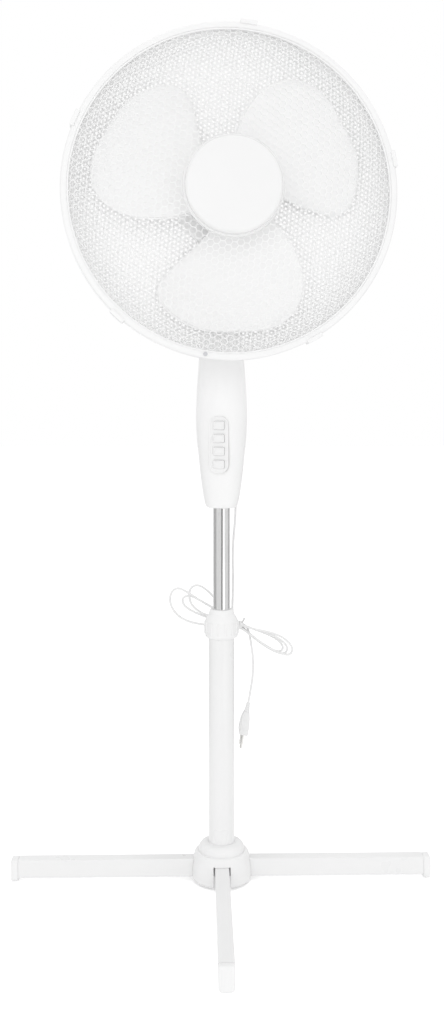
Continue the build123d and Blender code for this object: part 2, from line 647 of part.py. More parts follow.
KNOB_STEM_LOW = GEARBOX_TOP - KNOB_SEAT
KNOB_BASE = MOTOR_COVER_RADIUS + SLIDE
gearbox -= upright(KNOB_STEM + RUN, KNOB_STEM_LOW - KNOB_TRAVEL - SLIDE, GEARBOX_TOP, KNOB_AHEAD)
pieces["gearbox"] = HEAD * gearbox

knob = upright(KNOB_STEM, KNOB_STEM_LOW, KNOB_BASE + KNOB_TRAVEL, KNOB_AHEAD)
knob_head = upright(KNOB_RADIUS, KNOB_BASE + KNOB_TRAVEL, KNOB_BASE + KNOB_TRAVEL + KNOB_HEIGHT, KNOB_AHEAD)
pieces["clutch_knob"] = HEAD * (knob + fillet(knob_head.edges().group_by(Axis.Y)[-1], KNOB_HEIGHT / 4))


# Motor cover: a rear shell that narrows to its back
def motor_cover_body(inset):
    """The cover's body, drawn in by an inset from its outer face."""
    wide = MOTOR_COVER_RADIUS - inset
    narrow = MOTOR_COVER_BACK_RADIUS - inset
    back = MOTOR_COVER_BACK + inset
    middle = ((wide + narrow) / 2 + (wide - narrow) / 4, (back + MOTOR_COVER_BEND) / 2 - inset)
    return turned(
        Line((0, back), (narrow, back)),
        ThreePointArc((narrow, back), middle, (wide, MOTOR_COVER_BEND)),
        Line((wide, MOTOR_COVER_BEND), (wide, PLATE_BACK)),
        Line((wide, PLATE_BACK), (0, PLATE_BACK)),
        Line((0, PLATE_BACK), (0, back)),
    )


motor_cover = motor_cover_body(0) - motor_cover_body(MOTOR_COVER_WALL)
motor_cover += disc(COVER_BOSS_RADIUS, MOTOR_COVER_BACK, GEARBOX_BACK)
motor_cover -= disc(COVER_SCREW_RADIUS + FIT, MOTOR_COVER_BACK, GEARBOX_BACK)
motor_cover -= upright(KNOB_STEM + SLIDE, 0, 2 * MOTOR_COVER_RADIUS, KNOB_AHEAD)
motor_cover -= upright(MOTOR_COVER_DOOR, -2 * MOTOR_COVER_RADIUS, -BELL_RADIUS / 2, 0)
pieces["motor_cover"] = HEAD * motor_cover
cover_screw = disc(COVER_SCREW_RADIUS, MOTOR_COVER_BACK, SHAFT_BACK - 2 * SLIDE)
cover_screw += disc(COVER_SCREW_HEAD, MOTOR_COVER_BACK - COVER_SCREW_RADIUS, MOTOR_COVER_BACK)
pieces["cover_screw"] = HEAD * cover_screw

# Guards: two thin dishes with flanged rims, coarser in mesh than the real ones
RING_BORE = GUARD_RADIUS - RING_WALL
FLANGE_OUTER = RING_BORE - FIT
DISH_OUTER = GUARD_RADIUS - GUARD_DISH_GAP
DISH_INNER = DISH_OUTER - GUARD_WALL
FRONT_MIDDLE = RING_AHEAD + FRONT_DEPTH
FRONT_RIM = RING_AHEAD + RIM_FLANGE
REAR_RIM = RING_AHEAD - RIM_FLANGE


def front_dish(inset):
    """The front guard's body behind its face, drawn in by an inset."""
    flat = CAP_RADIUS + GUARD_WALL - inset
    rim = DISH_OUTER - inset
    top = FRONT_MIDDLE - inset
    middle = ((flat + rim) / 2 + FRONT_BULGE, top - FRONT_BULGE)
    return turned(
        Line((0, RING_AHEAD), (rim, RING_AHEAD)),
        Line((rim, RING_AHEAD), (rim, FRONT_RIM)),
        ThreePointArc((rim, FRONT_RIM), middle, (flat, top)),
        Line((flat, top), (0, top)),
        Line((0, top), (0, RING_AHEAD)),
    )


def rear_dish(inset):
    """The rear guard's body in front of its back, drawn in by an inset."""
    rim = DISH_OUTER - inset
    back = BACK_AHEAD + inset
    middle = ((REAR_FLAT_RADIUS + rim) / 2 + REAR_BULGE_OUT, (back + REAR_RIM) / 2 - REAR_BULGE_BACK)
    return turned(
        Line((0, RING_AHEAD), (rim, RING_AHEAD)),
        Line((rim, RING_AHEAD), (rim, REAR_RIM)),
        ThreePointArc((rim, REAR_RIM), middle, (REAR_FLAT_RADIUS, back)),
        Line((REAR_FLAT_RADIUS, back), (0, back)),
        Line((0, back), (0, RING_AHEAD)),
    )


def cells(low, high):
    """The honeycomb of openings, as prisms between two distances ahead, trimmed to a ring."""
    cell = extrude(RegularPolygon(CELL_SIZE / 2, 6, major_radius=False), high - low)
    ring = disc(CELL_OUTER, low, high, CELL_INNER)
    prisms = []
    rows = int(CELL_OUTER / CELL_PITCH) + 2
    for row in range(-rows, rows + 1):
        for column in range(-rows, rows + 1):
            x = CELL_PITCH * (column + (row % 2) / 2)
            y = CELL_PITCH * row * math.sqrt(3) / 2
            out = math.hypot(x, y)
            if CELL_INNER < out < CELL_OUTER:
                prism = Rot(0, 0, GUARD_ROLL) * Pos(x, y, low) * Rot(0, 0, 90) * cell
                whole = CELL_INNER + CELL_SIZE < out < CELL_OUTER - CELL_SIZE
                prisms.append(prism if whole else prism & ring)
    return prisms


def rim_cells(inner, outer, low, high):
    """A ring of openings near a guard's rim, between two radii and two distances ahead."""
    cell = Pos((inner + outer) / 2, 0, low) * Box(outer - inner, RIM_CELL_WIDTH, high - low, align=UP)
    return [Rot(0, 0, GUARD_ROLL + index * 360 / RIM_CELL_COUNT) * cell for index in range(RIM_CELL_COUNT)]


screw_way = math.radians(RIM_SCREW_ANGLE)
screw_out = (FLANGE_OUTER + DISH_OUTER) / 2
screw_spot = Pos(screw_out * math.cos(screw_way), screw_out * math.sin(screw_way), 0)
RING_FRONT = FRONT_RIM + RING_LIP
RING_BACK = REAR_RIM - RING_LIP
rim_hole = screw_spot * disc(RIM_SCREW_RADIUS + FIT, RING_BACK, RING_FRONT)

front_guard = front_dish(0) - front_dish(GUARD_WALL)
front_guard += disc(FLANGE_OUTER, RING_AHEAD, FRONT_RIM, DISH_INNER)
front_guard -= cells(RING_AHEAD, FRONT_MIDDLE)
front_guard -= rim_cells(RIM_CELL_INNER, FRONT_CELL_OUTER, RING_AHEAD, FRONT_MIDDLE)
pieces["front_guard"] = HEAD * (front_guard - rim_hole)

rear_guard = rear_dish(0) - rear_dish(GUARD_WALL)
rear_guard += disc(FLANGE_OUTER, REAR_RIM, RING_AHEAD, DISH_INNER)
rear_guard -= cells(BACK_AHEAD, RING_AHEAD)
rear_guard -= rim_cells(RIM_CELL_INNER, REAR_CELL_OUTER, BACK_AHEAD, RING_AHEAD)
rear_guard -= rim_cells(RIM_CELL_INNER, GUARD_RADIUS, SIDE_CELL_BACK, SIDE_CELL_FRONT)
rear_guard -= disc(NOSE_RADIUS + FIT, BACK_AHEAD, RING_AHEAD)
pieces["rear_guard"] = HEAD * (rear_guard - rim_hole)

NUT_BACK = BACK_AHEAD + GUARD_WALL
pieces["guard_lock_nut"] = HEAD * disc(LOCK_NUT_RADIUS, NUT_BACK, NUT_BACK + LOCK_NUT_THICK, NOSE_RADIUS + FIT)

guard_ring = disc(GUARD_RADIUS, RING_BACK, RING_FRONT, DISH_OUTER + FIT)
guard_ring -= disc(RING_BORE, REAR_RIM, FRONT_RIM)
pieces["guard_ring"] = HEAD * (guard_ring - rim_hole)

clip_outer = GUARD_RADIUS + CLIP_WALL
clip_profile = disc(clip_outer, RING_BACK - CLIP_WALL, RING_FRONT + CLIP_WALL, RING_BORE)
clip_profile -= disc(GUARD_RADIUS, RING_BACK, RING_FRONT, RING_BORE)
clip = clip_profile & Pos(GUARD_RADIUS, 0, RING_AHEAD) * Box(GUARD_RADIUS, CLIP_WIDTH, 2 * REAR_DEPTH)
clip_step = 360 / CLIP_COUNT
pieces["rim_clips"] = [HEAD * Rot(0, 0, CLIP_START - index * clip_step) * clip for index in range(CLIP_COUNT)]

rim_screw = disc(RIM_SCREW_RADIUS, RING_BACK, RING_FRONT)
rim_screw += disc(RIM_SCREW_HEAD, RING_FRONT, RING_FRONT + RIM_SCREW_RADIUS)
pieces["rim_screw"] = HEAD * screw_spot * rim_screw

CAP_FRONT = FRONT_MIDDLE + CAP_DEPTH
cap = disc(CAP_RADIUS, FRONT_MIDDLE, CAP_FRONT)
pieces["centre_cap"] = HEAD * fillet(cap.edges().group_by(Axis.Z)[-1], CAP_EDGE)

# Rotor: shaft, core, blades on their hub, and the nut that holds them
HUB_BACK = ROTOR_AHEAD - HUB_LENGTH / 2
HUB_FRONT = ROTOR_AHEAD + HUB_LENGTH / 2
pieces["motor_shaft"] = HEAD * disc(SHAFT_RADIUS, SHAFT_BACK, HUB_FRONT + BLADE_NUT_LENGTH / 2)
pieces["rotor_core"] = HEAD * disc(ROTOR_RADIUS, STATOR_BACK, STATOR_FRONT, SHAFT_RADIUS + FIT)

hub = disc(HUB_RADIUS, HUB_BACK, HUB_FRONT) - disc(HUB_RADIUS - HUB_WALL, HUB_BACK, HUB_FRONT - HUB_WALL)
hub += disc(HUB_BOSS_RADIUS, HUB_BACK, HUB_FRONT)
hub_bore = disc(SHAFT_RADIUS + FIT, HUB_BACK, HUB_FRONT)


def polar(share, degrees):
    """A point at a share of the blade's radius and an angle seen from the front."""
    angle = math.radians(degrees)
    return (share * BLADE_RADIUS * math.cos(angle), share * BLADE_RADIUS * math.sin(angle))


def blade():
    """The right-hand blade: a twisted plate, wide and round at its tip, cut to its outline."""
    root_share = (HUB_RADIUS - HUB_WALL / 2) / BLADE_RADIUS
    root_low = polar(root_share, BLADE_MIDDLE - BLADE_ROOT_LOW)
    root_high = polar(root_share, BLADE_MIDDLE + BLADE_ROOT_HIGH)
    rim = Spline(
        root_high,
        polar(0.57, 78),
        polar(0.75, 72),
        polar(0.89, 64),
        polar(0.98, 54),
        polar(1.0, 43),
        polar(0.975, 22),
        polar(0.95, 10),
        polar(0.91, -1),
        polar(0.78, -9),
        polar(0.59, -8),
        root_low,
    )
    outline = make_face(Curve(children=[rim, Line(root_low, root_high)]))
    cutter = Pos(0, 0, HUB_BACK - HUB_LENGTH) * extrude(outline, 3 * HUB_LENGTH)
    sections = []
    for distance, pitch in ((0, BLADE_ROOT_PITCH), (BLADE_RADIUS, BLADE_TIP_PITCH)):
        station = Plane(origin=(distance, 0, ROTOR_AHEAD), x_dir=(0, 1, 0), z_dir=(1, 0, 0))
        sections.append(station.location * Rot(0, 0, pitch) * Rectangle(BLADE_PLATE * BLADE_RADIUS, BLADE_THICK))
    plate = Rot(0, 0, BLADE_MIDDLE) * loft(sections, ruled=True)
    return plate & cutter


blades = hub
for index in range(BLADE_COUNT):
    blades += Rot(0, 0, 360 / BLADE_COUNT * index) * blade() - disc(
        HUB_RADIUS - HUB_WALL / 2, HUB_BACK - HUB_LENGTH, HUB_FRONT + HUB_LENGTH
    )
pieces["fan_blades"] = HEAD * (blades - hub_bore)

blade_nut = disc(BLADE_NUT_RADIUS, HUB_FRONT, HUB_FRONT + BLADE_NUT_LENGTH)
blade_nut = fillet(blade_nut.edges().group_by(Axis.Z)[-1], BLADE_NUT_LENGTH / 3)
pieces["blade_nut"] = HEAD * (blade_nut - disc(SHAFT_RADIUS + FIT, HUB_FRONT, HUB_FRONT + BLADE_NUT_LENGTH / 2))

# Mains cord: the lead hangs from the gland, the hank is tied behind the pole, the tail hangs to the plug
slope = math.radians(TIE_SLOPE)
ALONG = Vector(math.cos(slope), 0, math.sin(slope))
ACROSS = Vector(-math.sin(slope), 0, math.cos(slope))


def layer(number):
    """How far behind the pole's axis a layer of the hank lies."""
    return HANK_FRONT + number * LAYER_PITCH


def waist(number, side, run):
    """A point on a strand in the tie: side is 1 for the upper row, -1 for the lower one."""
    return Vector(TIE_X, layer(number), TIE_Z) + ACROSS * (side * LAYER_PITCH / 2) + ALONG * run


gland_tip = GLAND_START + GLAND_WAY * GLAND_LENGTH
hank_start = waist(0, 1, -TIE_END)
hank_end = waist(3, 1, TIE_END)
lead_points = [
    gland_tip,
    gland_tip + GLAND_WAY * LEAD_RUN,
    Vector(19.2, 33.0, 468),
    Vector(16.6, 32.0, 442),
    Vector(15.7, 30.8, 416),
    Vector(16.4, 30.2, 391),
    Vector(15.9, 30.0, 368),
    Vector(15.2, 30.0, 351),
    Vector(16.0, 30.0, 338.5),
    hank_start - ALONG * TIE_RUN,
    hank_start,
]
right_lobes = (
    ((50, 319.5), (72, 315), (89, 306), (97.5, 294), (93, 285), (80, 287.5), (62, 297), (44, 309.5)),
    ((50, 318), (70, 311.5), (85, 302.5), (91, 292.5), (85, 285.5), (72, 289.5), (57, 298.5), (43, 309)),
    ((50, 317), (66, 311), (79, 303), (85, 294), (80, 287.5), (68, 291.5), (55, 300), (42, 310)),
)
left_lobes = (
    ((2, 325), (-20, 326), (-41, 329), (-59, 338), (-69, 354), (-68, 370), (-58, 377), (-44, 369), (-24, 356),
     (2, 341)),
    ((4, 330), (-14, 336), (-30, 343), (-40, 352), (-43.5, 364), (-41, 376), (-31, 380), (-17, 371), (0, 351.5)),
    ((3, 328.5), (-16, 334), (-36, 341), (-50, 350), (-53, 360), (-44, 365.5), (-27, 357), (-2, 342.5)),
)
CLIMB_POINTS = 3      # points of a left lobe over which the cord climbs one layer
hank_points = [hank_start]
for number in range(3):
    hank_points.append(waist(number, 1, TIE_RUN))
    hank_points += [Vector(x, layer(number), z) for x, z in right_lobes[number]]
    hank_points += [waist(number, -1, TIE_RUN), waist(number, -1, -TIE_RUN)]
    for index, (x, z) in enumerate(left_lobes[number]):
        climb = min(1.0, (index + 1) / CLIMB_POINTS)
        hank_points.append(Vector(x, layer(number + climb), z))
    hank_points.append(waist(number + 1, 1, -TIE_RUN))
hank_points.append(hank_end)
tail_points = [
    hank_end,
    hank_end + ALONG * TAIL_RUN,
    Vector(40.5, 41.0, 302.5),
    Vector(43.9, 40.2, 279),
    Vector(43.5, 39.6, 256),
    Vector(40.2, 39.2, 235.5),
    Vector(37.2, 39.0, 219.5),
]


def corner_radii(points):
    """The largest tangent arc that each corner's two runs allow."""
    radii = []
    for before, here, after in zip(points, points[1:], points[2:]):
        turn = math.radians((here - before).get_angle(after - here))
        shorter = min((here - before).length, (after - here).length)
        radii.append(BEND_SHARE * shorter / math.tan(turn / 2))
    return radii


def cord_tube(points, label):
    """A round tube along straight runs and tangent arcs."""
    radii = corner_radii(points)
    path = FilletPolyline(*points, radius=radii)
    section = Plane(origin=points[0], z_dir=points[1] - points[0]) * Circle(CORD_DIAMETER / 2)
    tube = sweep(section, path=path)
    ideal = math.pi * CORD_DIAMETER**2 / 4 * path.length
    print(label, "length", round(path.length, 1), "least radius", round(min(radii), 1))
    print(label, "radii", [round(radius) for radius in radii])
    print(label, "volume over section times length", round(tube.volume / ideal, 4))
    return tube, path


def least_self_gap(path):
    """The narrowest gap between stretches of one tube that aren't neighbours along it."""
    step = CORD_DIAMETER / 2
    count = int(path.length / step)
    spots = [path.position_at(index / count) for index in range(count + 1)]
    apart = 8
    least = min(
        (spots[i] - spots[j]).length for i in range(len(spots)) for j in range(i + apart, len(spots))
    )
    return least - CORD_DIAMETER


pieces["cord_lead"], lead_path = cord_tube(lead_points, "lead")
pieces["cord_hank"], hank_path = cord_tube(hank_points, "hank")
pieces["cord_tail"], tail_path = cord_tube(tail_points, "tail")
print("hank least gap to itself", round(least_self_gap(hank_path), 2))
print("cord length", round(lead_path.length + hank_path.length + tail_path.length, 1))

TIE_STATION = Plane(origin=(TIE_X, layer(1.5), TIE_Z), x_dir=(0, 1, 0), z_dir=ALONG).location
bundle_deep = 3 * LAYER_PITCH + CORD_DIAMETER + 2 * TIE_GAP
bundle_high = LAYER_PITCH + CORD_DIAMETER + 2 * TIE_GAP
tie_outline = RectangleRounded(bundle_deep + 2 * TIE_WALL, bundle_high + 2 * TIE_WALL, TIE_EDGE + TIE_WALL)
tie_outline -= RectangleRounded(bundle_deep, bundle_high, TIE_EDGE)
pieces["twist_tie"] = TIE_STATION * Pos(0, 0, -TIE_LENGTH / 2) * extrude(tie_outline, TIE_LENGTH)

# Plug on the tail: a tapered neck, a flat moulded body and two round pins, one behind the other
plug_way = (tail_points[-1] - tail_points[-2]).normalized()
PLUG = Plane(origin=tail_points[-1], x_dir=(0, 1, 0), z_dir=plug_way).location
plug = Cone(GLAND_TIP_RADIUS, PLUG_NECK_RADIUS, PLUG_NECK, align=UP)
plug += loft(
    [
        Pos(0, 0, PLUG_NECK) * RectangleRounded(PLUG_THICK, PLUG_ROOT_THICK, PLUG_CORNER),
        Pos(0, 0, PLUG_NECK + PLUG_SHOULDER) * RectangleRounded(PLUG_WIDTH, PLUG_THICK, PLUG_CORNER),
        Pos(0, 0, PLUG_NECK + PLUG_LENGTH) * RectangleRounded(PLUG_WIDTH, PLUG_THICK, PLUG_CORNER),
    ],
    ruled=True,
)
pins = []
for side in (-1, 1):
    seat = Pos(side * PLUG_PIN_PITCH / 2, 0, PLUG_NECK + PLUG_LENGTH - PLUG_PIN_SEAT)
    plug -= seat * Cylinder(PLUG_PIN_RADIUS + FIT, PLUG_PIN_SEAT, align=UP)
    pins.append(PLUG * seat * Cylinder(PLUG_PIN_RADIUS, PLUG_PIN_SEAT + PLUG_PIN_LENGTH, align=UP))
pieces["plug"] = PLUG * plug
pieces["plug_pins"] = pins

os.makedirs("parts", exist_ok=True)
for name, shape in pieces.items():
    solid = Compound(children=shape) if isinstance(shape, list) else shape
    export_step(solid, "parts/" + name + ".step")
print(len(pieces), "pieces")
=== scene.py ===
# %% [markdown]
# # A white pedestal fan, dressed in Blender
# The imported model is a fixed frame: 57 solids that already stand where they belong, in metres, with the
# floor at Z = 0, the front towards -Y and the right towards +X.
# This lesson keeps that frame still, models the skins that show, and gives every surface a finish.

# %% Load the frame
import json
import math
import bpy
from mathutils import Matrix, Vector

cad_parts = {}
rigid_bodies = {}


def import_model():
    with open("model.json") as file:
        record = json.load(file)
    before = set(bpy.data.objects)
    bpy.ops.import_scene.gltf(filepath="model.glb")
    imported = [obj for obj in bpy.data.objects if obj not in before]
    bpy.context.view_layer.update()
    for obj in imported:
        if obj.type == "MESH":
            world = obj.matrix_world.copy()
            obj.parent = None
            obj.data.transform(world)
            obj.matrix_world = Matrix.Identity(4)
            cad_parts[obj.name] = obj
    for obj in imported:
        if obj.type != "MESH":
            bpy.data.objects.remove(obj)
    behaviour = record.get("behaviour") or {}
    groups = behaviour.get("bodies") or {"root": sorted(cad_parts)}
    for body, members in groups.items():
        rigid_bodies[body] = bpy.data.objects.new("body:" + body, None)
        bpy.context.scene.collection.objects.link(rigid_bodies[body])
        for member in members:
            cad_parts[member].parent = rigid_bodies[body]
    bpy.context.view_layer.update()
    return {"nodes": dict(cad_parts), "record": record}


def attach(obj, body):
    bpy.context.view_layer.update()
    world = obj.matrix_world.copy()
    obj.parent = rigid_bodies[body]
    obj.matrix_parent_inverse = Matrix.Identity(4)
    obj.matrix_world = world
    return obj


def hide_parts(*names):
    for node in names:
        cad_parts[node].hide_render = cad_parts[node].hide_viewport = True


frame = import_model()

MM = 0.001


# %% [markdown]
# ## The camera
# The photograph was taken from a little over half the fan's height, with the camera held level.
# A level camera keeps the pole upright in the picture. The fan sits low in the frame, so the lens is shifted
# instead of tilted, which is what a photographer with a view camera would do.

# %% Camera
PHOTO_WIDTH = 444
PHOTO_HEIGHT = 1024
FOCAL_PIXELS = 1051.8     # the lens, in pixels of the photograph
HORIZON_ROW = 408.0       # the row at the camera's own height
POLE_COLUMN = 221.5       # the column of the pole's axis
CAMERA_AWAY = 1.384
CAMERA_HEIGHT = 0.618
SENSOR_HEIGHT = 36.0      # millimetres
CAMERA_SIDE = math.radians(1.2)   # the camera stands this far round to the left of the fan's front


def deselect():
    """Leave edit mode with nothing selected, so that an operator touches only what comes next."""
    if bpy.context.object and bpy.context.object.mode != "OBJECT":
        bpy.ops.object.mode_set(mode="OBJECT")
    bpy.ops.object.select_all(action="DESELECT")


deselect()
camera_spot = (-CAMERA_AWAY * math.sin(CAMERA_SIDE), -CAMERA_AWAY * math.cos(CAMERA_SIDE), CAMERA_HEIGHT)
bpy.ops.object.camera_add(location=camera_spot, rotation=(math.pi / 2, 0, -CAMERA_SIDE))
camera = bpy.context.object
camera.name = "camera"
camera.data.sensor_fit = "VERTICAL"
camera.data.sensor_height = SENSOR_HEIGHT
camera.data.lens = FOCAL_PIXELS / PHOTO_HEIGHT * SENSOR_HEIGHT
camera.data.shift_x = (PHOTO_WIDTH / 2 - POLE_COLUMN) / PHOTO_HEIGHT
camera.data.shift_y = (HORIZON_ROW - PHOTO_HEIGHT / 2) / PHOTO_HEIGHT
bpy.context.scene.camera = camera
print("camera: lens", round(camera.data.lens, 2), "mm, shift", round(camera.data.shift_y, 4))


# %% [markdown]
# ## The mains cord
# The cord leaves a gland low on the back of the neck casing and hangs down behind the chrome tube.
# Most of it is folded into a hank of three turns, tied behind the pole's collar, and the tail hangs to the
# plug. One smooth spline with a round bevel is the whole cord. Its control points are those of the solid.
# The strands lie side by side in the tie, in layers one behind the other, so a small formula gives the waist.

# %% Cord
CORD_DIAMETER = 3.2 * MM
LAYER_PITCH = 3.9
HANK_FRONT = 30.0         # how far behind the pole's axis the first layer lies
TIE_X = 26.0
TIE_Z = 325.0
TIE_SLOPE = math.radians(-30)
TIE_RUN = 6.0
TIE_END = 3.0
ALONG = Vector((math.cos(TIE_SLOPE), 0, math.sin(TIE_SLOPE)))
ACROSS = Vector((-math.sin(TIE_SLOPE), 0, math.cos(TIE_SLOPE)))
GLAND_WAY = Vector((0.15, 0.5, -0.853)).normalized()
GLAND_SEAT = Vector((15.5, 14.5, 516))
GLAND_LENGTH = 20.0
GLAND_OUT = 16.0          # of its length that stands out of the casing
GLAND_TIP = GLAND_SEAT + GLAND_WAY * GLAND_OUT
GLAND_RUN = 13.0          # how far the cord runs straight out of the gland
TAIL_RUN = 8.0            # and out of the tie


def layer(number):
    """How far behind the pole's axis a layer of the hank lies."""
    return HANK_FRONT + number * LAYER_PITCH


def waist(number, side, run):
    """A point on a strand in the tie: side is 1 for the upper row, -1 for the lower one."""
    return Vector((TIE_X, layer(number), TIE_Z)) + ACROSS * (side * LAYER_PITCH / 2) + ALONG * run


hank_start = waist(0, 1, -TIE_END)
hank_end = waist(3, 1, TIE_END)
lead = [GLAND_TIP, GLAND_TIP + GLAND_WAY * GLAND_RUN]
lead += [Vector(point) for point in (
    (19.2, 33, 468), (16.6, 32, 442), (15.7, 30.8, 416), (16.4, 30.2, 391), (15.9, 30, 368), (15.2, 30, 351),
    (16, 30, 338.5),
)]
lead.append(hank_start - ALONG * TIE_RUN)
right_lobes = (
    ((50, 319.5), (72, 315), (89, 306), (97.5, 294), (93, 285), (80, 287.5), (62, 297), (44, 309.5)),
    ((50, 318), (70, 311.5), (85, 302.5), (91, 292.5), (85, 285.5), (72, 289.5), (57, 298.5), (43, 309)),
    ((50, 317), (66, 311), (79, 303), (85, 294), (80, 287.5), (68, 291.5), (55, 300), (42, 310)),
)
left_lobes = (
    ((2, 325), (-20, 326), (-41, 329), (-59, 338), (-69, 354), (-68, 370), (-58, 377), (-44, 369), (-24, 356),
     (2, 341)),
    ((4, 330), (-14, 336), (-30, 343), (-40, 352), (-43.5, 364), (-41, 376), (-31, 380), (-17, 371),
     (0, 351.5)),
    ((3, 328.5), (-16, 334), (-36, 341), (-50, 350), (-53, 360), (-44, 365.5), (-27, 357), (-2, 342.5)),
)
CLIMB_POINTS = 3          # points of a left lobe over which the cord climbs one layer
hank = [hank_start]
for number in range(3):
    hank.append(waist(number, 1, TIE_RUN))
    hank += [Vector((x, layer(number), z)) for x, z in right_lobes[number]]
    hank += [waist(number, -1, TIE_RUN), waist(number, -1, -TIE_RUN)]
    for index, (x, z) in enumerate(left_lobes[number]):
        climb = min(1.0, (index + 1) / CLIMB_POINTS)
        hank.append(Vector((x, layer(number + climb), z)))
    hank.append(waist(number + 1, 1, -TIE_RUN))
tail = [hank_end, hank_end + ALONG * TAIL_RUN]
tail += [Vector(point) for point in (
    (40.5, 41, 302.5), (43.9, 40.2, 279), (43.5, 39.6, 256), (40.2, 39.2, 235.5), (37.2, 39, 219.5),
)]
route = lead + hank + tail

cord_line = bpy.data.curves.new("mains_cord", "CURVE")
cord_line.dimensions = "3D"
spline = cord_line.splines.new("NURBS")
spline.points.add(len(route) - 1)
for point, place in zip(spline.points, route):
    point.co = (*(place * MM), 1)
    point.radius = CORD_DIAMETER / 2
spline.order_u = 3
spline.use_endpoint_u = True
spline.resolution_u = 6
cord_line.bevel_depth = 1.0   # times each point's radius, which also keeps the curve's own box true
cord_line.bevel_resolution = 3
cord_line.use_fill_caps = True
mains_cord = bpy.data.objects.new("mains_cord", cord_line)
bpy.context.scene.collection.objects.link(mains_cord)
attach(mains_cord, "column")
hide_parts("cord_lead", "cord_hank", "cord_tail")
print("cord:", len(route), "control points")


# %% [markdown]
# ## Finishes
# Every finish starts from what the real surface is made of and how it was made. One function turns a colour
# code into the linear numbers that Blender mixes, and one adds a node with its settings and links.
# Patterns read Object coordinates, which are metres here, so a pattern's scale is one over its real size.
# One more function lets a pattern drive tone, shine and relief, which every finish below shares.

# %% Colour and node helpers
def linear(code):
    """The linear colour of an sRGB hex code."""
    channels = [int(code[start:start + 2], 16) / 255 for start in (0, 2, 4)]
    light = [c / 12.92 if c <= 0.04045 else ((c + 0.055) / 1.055) ** 2.4 for c in channels]
    return (*light, 1.0)


def add_node(tree, kind, settings, links):
    """Add a node, set its sockets and properties by name, and link its inputs to other nodes' outputs."""
    made = tree.nodes.new(kind)
    for name, value in settings.items():
        if name in made.inputs.keys() or isinstance(name, int):
            made.inputs[name].default_value = value
        else:
            setattr(made, name, value)
    for name, output in links.items():
        tree.links.new(output, made.inputs[name])
    return made


def new_finish(name):
    """An empty material, its node tree and its Principled shader."""
    material = bpy.data.materials.new(name)
    material.use_nodes = True
    tree = material.node_tree
    return material, tree, tree.nodes["Principled BSDF"]


def dress(tree, shader, tones, shine, drift, relief, strength, depth_mm, spread=(0.0, 1.0)):
    """Let a drifting pattern drive the tone and the shine, and a relief pattern the bump.

    A pattern is noise, given by its features' millimetres along X, Y and Z, its detail and its roughness.
    """
    place = add_node(tree, "ShaderNodeTexCoord", {}, {}).outputs["Object"]
    patterns = []
    for sizes_mm, detail, rough in (drift, relief):
        scale = tuple(1 / (size * MM) for size in sizes_mm)
        scaled = add_node(tree, "ShaderNodeMapping", {"Scale": scale}, {"Vector": place}).outputs["Vector"]
        settings = {"Scale": 1.0, "Detail": detail, "Roughness": rough}
        patterns.append(add_node(tree, "ShaderNodeTexNoise", settings, {"Vector": scaled}).outputs["Fac"])
    drifting, raised = patterns
    dark, light = (linear(code) for code in tones)
    tone = add_node(tree, "ShaderNodeMix", {"data_type": "RGBA", 6: dark, 7: light}, {0: drifting})
    gloss = add_node(
        tree,
        "ShaderNodeMapRange",
        {"From Min": spread[0], "From Max": spread[1], "To Min": shine[0], "To Max": shine[1]},
        {"Value": drifting},
    )
    bump = add_node(
        tree, "ShaderNodeBump", {"Strength": strength, "Distance": depth_mm * MM}, {"Height": raised}
    )
    tree.links.new(tone.outputs[2], shader.inputs["Base Color"])
    tree.links.new(gloss.outputs["Result"], shader.inputs["Roughness"])
    tree.links.new(bump.outputs["Normal"], shader.inputs["Normal"])


print("helpers ready: white f4f4f4 is", round(linear("f4f4f4")[0], 3), "in linear light")


# %% [markdown]
# ## Moulded plastic
# The casing, feet, collar and guard are injection-moulded white plastic. A mould is spark-eroded or polished,
# so the part carries its fine grain or its gloss, and the melt cools a little unevenly, which shows as very
# faint drifts of tone and shine. One function makes the family: the grain, the roughness and the tone differ.

# %% Plastics
PLASTIC_IOR = 1.53
DRIFT_MM = 60             # how far the tone and the shine take to drift
DRIFT_SPREAD = (0.3, 0.7)  # the part of the noise that is in use
SHINE_DRIFT = 0.04
COAT_ROUGHNESS = 0.08


def moulded_plastic(name, light, shade, rough, grain_mm, grain_depth_mm, coat):
    """White moulded plastic: a drifting tone between two codes, uneven shine and a mould grain."""
    material, tree, shader = new_finish(name)
    drift = ((DRIFT_MM, DRIFT_MM, DRIFT_MM), 3.0, 0.55)
    grain = ((grain_mm, grain_mm, grain_mm), 2.0, 0.5)
    shine = (rough - SHINE_DRIFT, rough + SHINE_DRIFT)
    dress(tree, shader, (shade, light), shine, drift, grain, 0.35, grain_depth_mm, DRIFT_SPREAD)
    shader.inputs["IOR"].default_value = PLASTIC_IOR
    shader.inputs["Coat Weight"].default_value = coat
    shader.inputs["Coat Roughness"].default_value = COAT_ROUGHNESS
    return material


# Satin ABS from a spark-eroded mould: soft highlights and a just visible grain, drawn at 0.9 mm to show.
satin_abs = moulded_plastic("satin_moulded_abs", "f4f4f4", "f0f0f0", 0.42, 0.9, 0.02, 0.0)
# The same plastic painted lighter for the neck casing, as painted light against the shade that the head casts
# on it.
casing_abs_painted_light = moulded_plastic("satin_abs_painted_light", "f6f6f6", "f3f3f3", 0.42, 0.9, 0.02, 0.0)
# Gloss ABS from a polished mould: the centre cap and the buttons, with a clear reflection and hardly a grain.
gloss_abs = moulded_plastic("polished_moulded_abs", "f0f0f0", "ededed", 0.2, 6.0, 0.02, 0.25)
# AS resin of the blades, polished: brighter highlights along the curve of each blade. Its tone is painted
# lighter than the other plastics, as painted light against the shade of the front guard and for light that
# passes through the thin blades.
blade_resin_painted_light = moulded_plastic("polished_blade_resin_painted_light", "fafafa", "f8f8f8", 0.16, 9.0, 0.03, 0.3)
# Polypropylene of the rear guard, painted a very bright white as painted light against the shade inside the
# cage of the two guards.
rear_guard_painted_light = moulded_plastic("guard_polypropylene_painted_light", "fbfbfb", "f9f9f9", 0.4, 1.2, 0.02, 0.0)
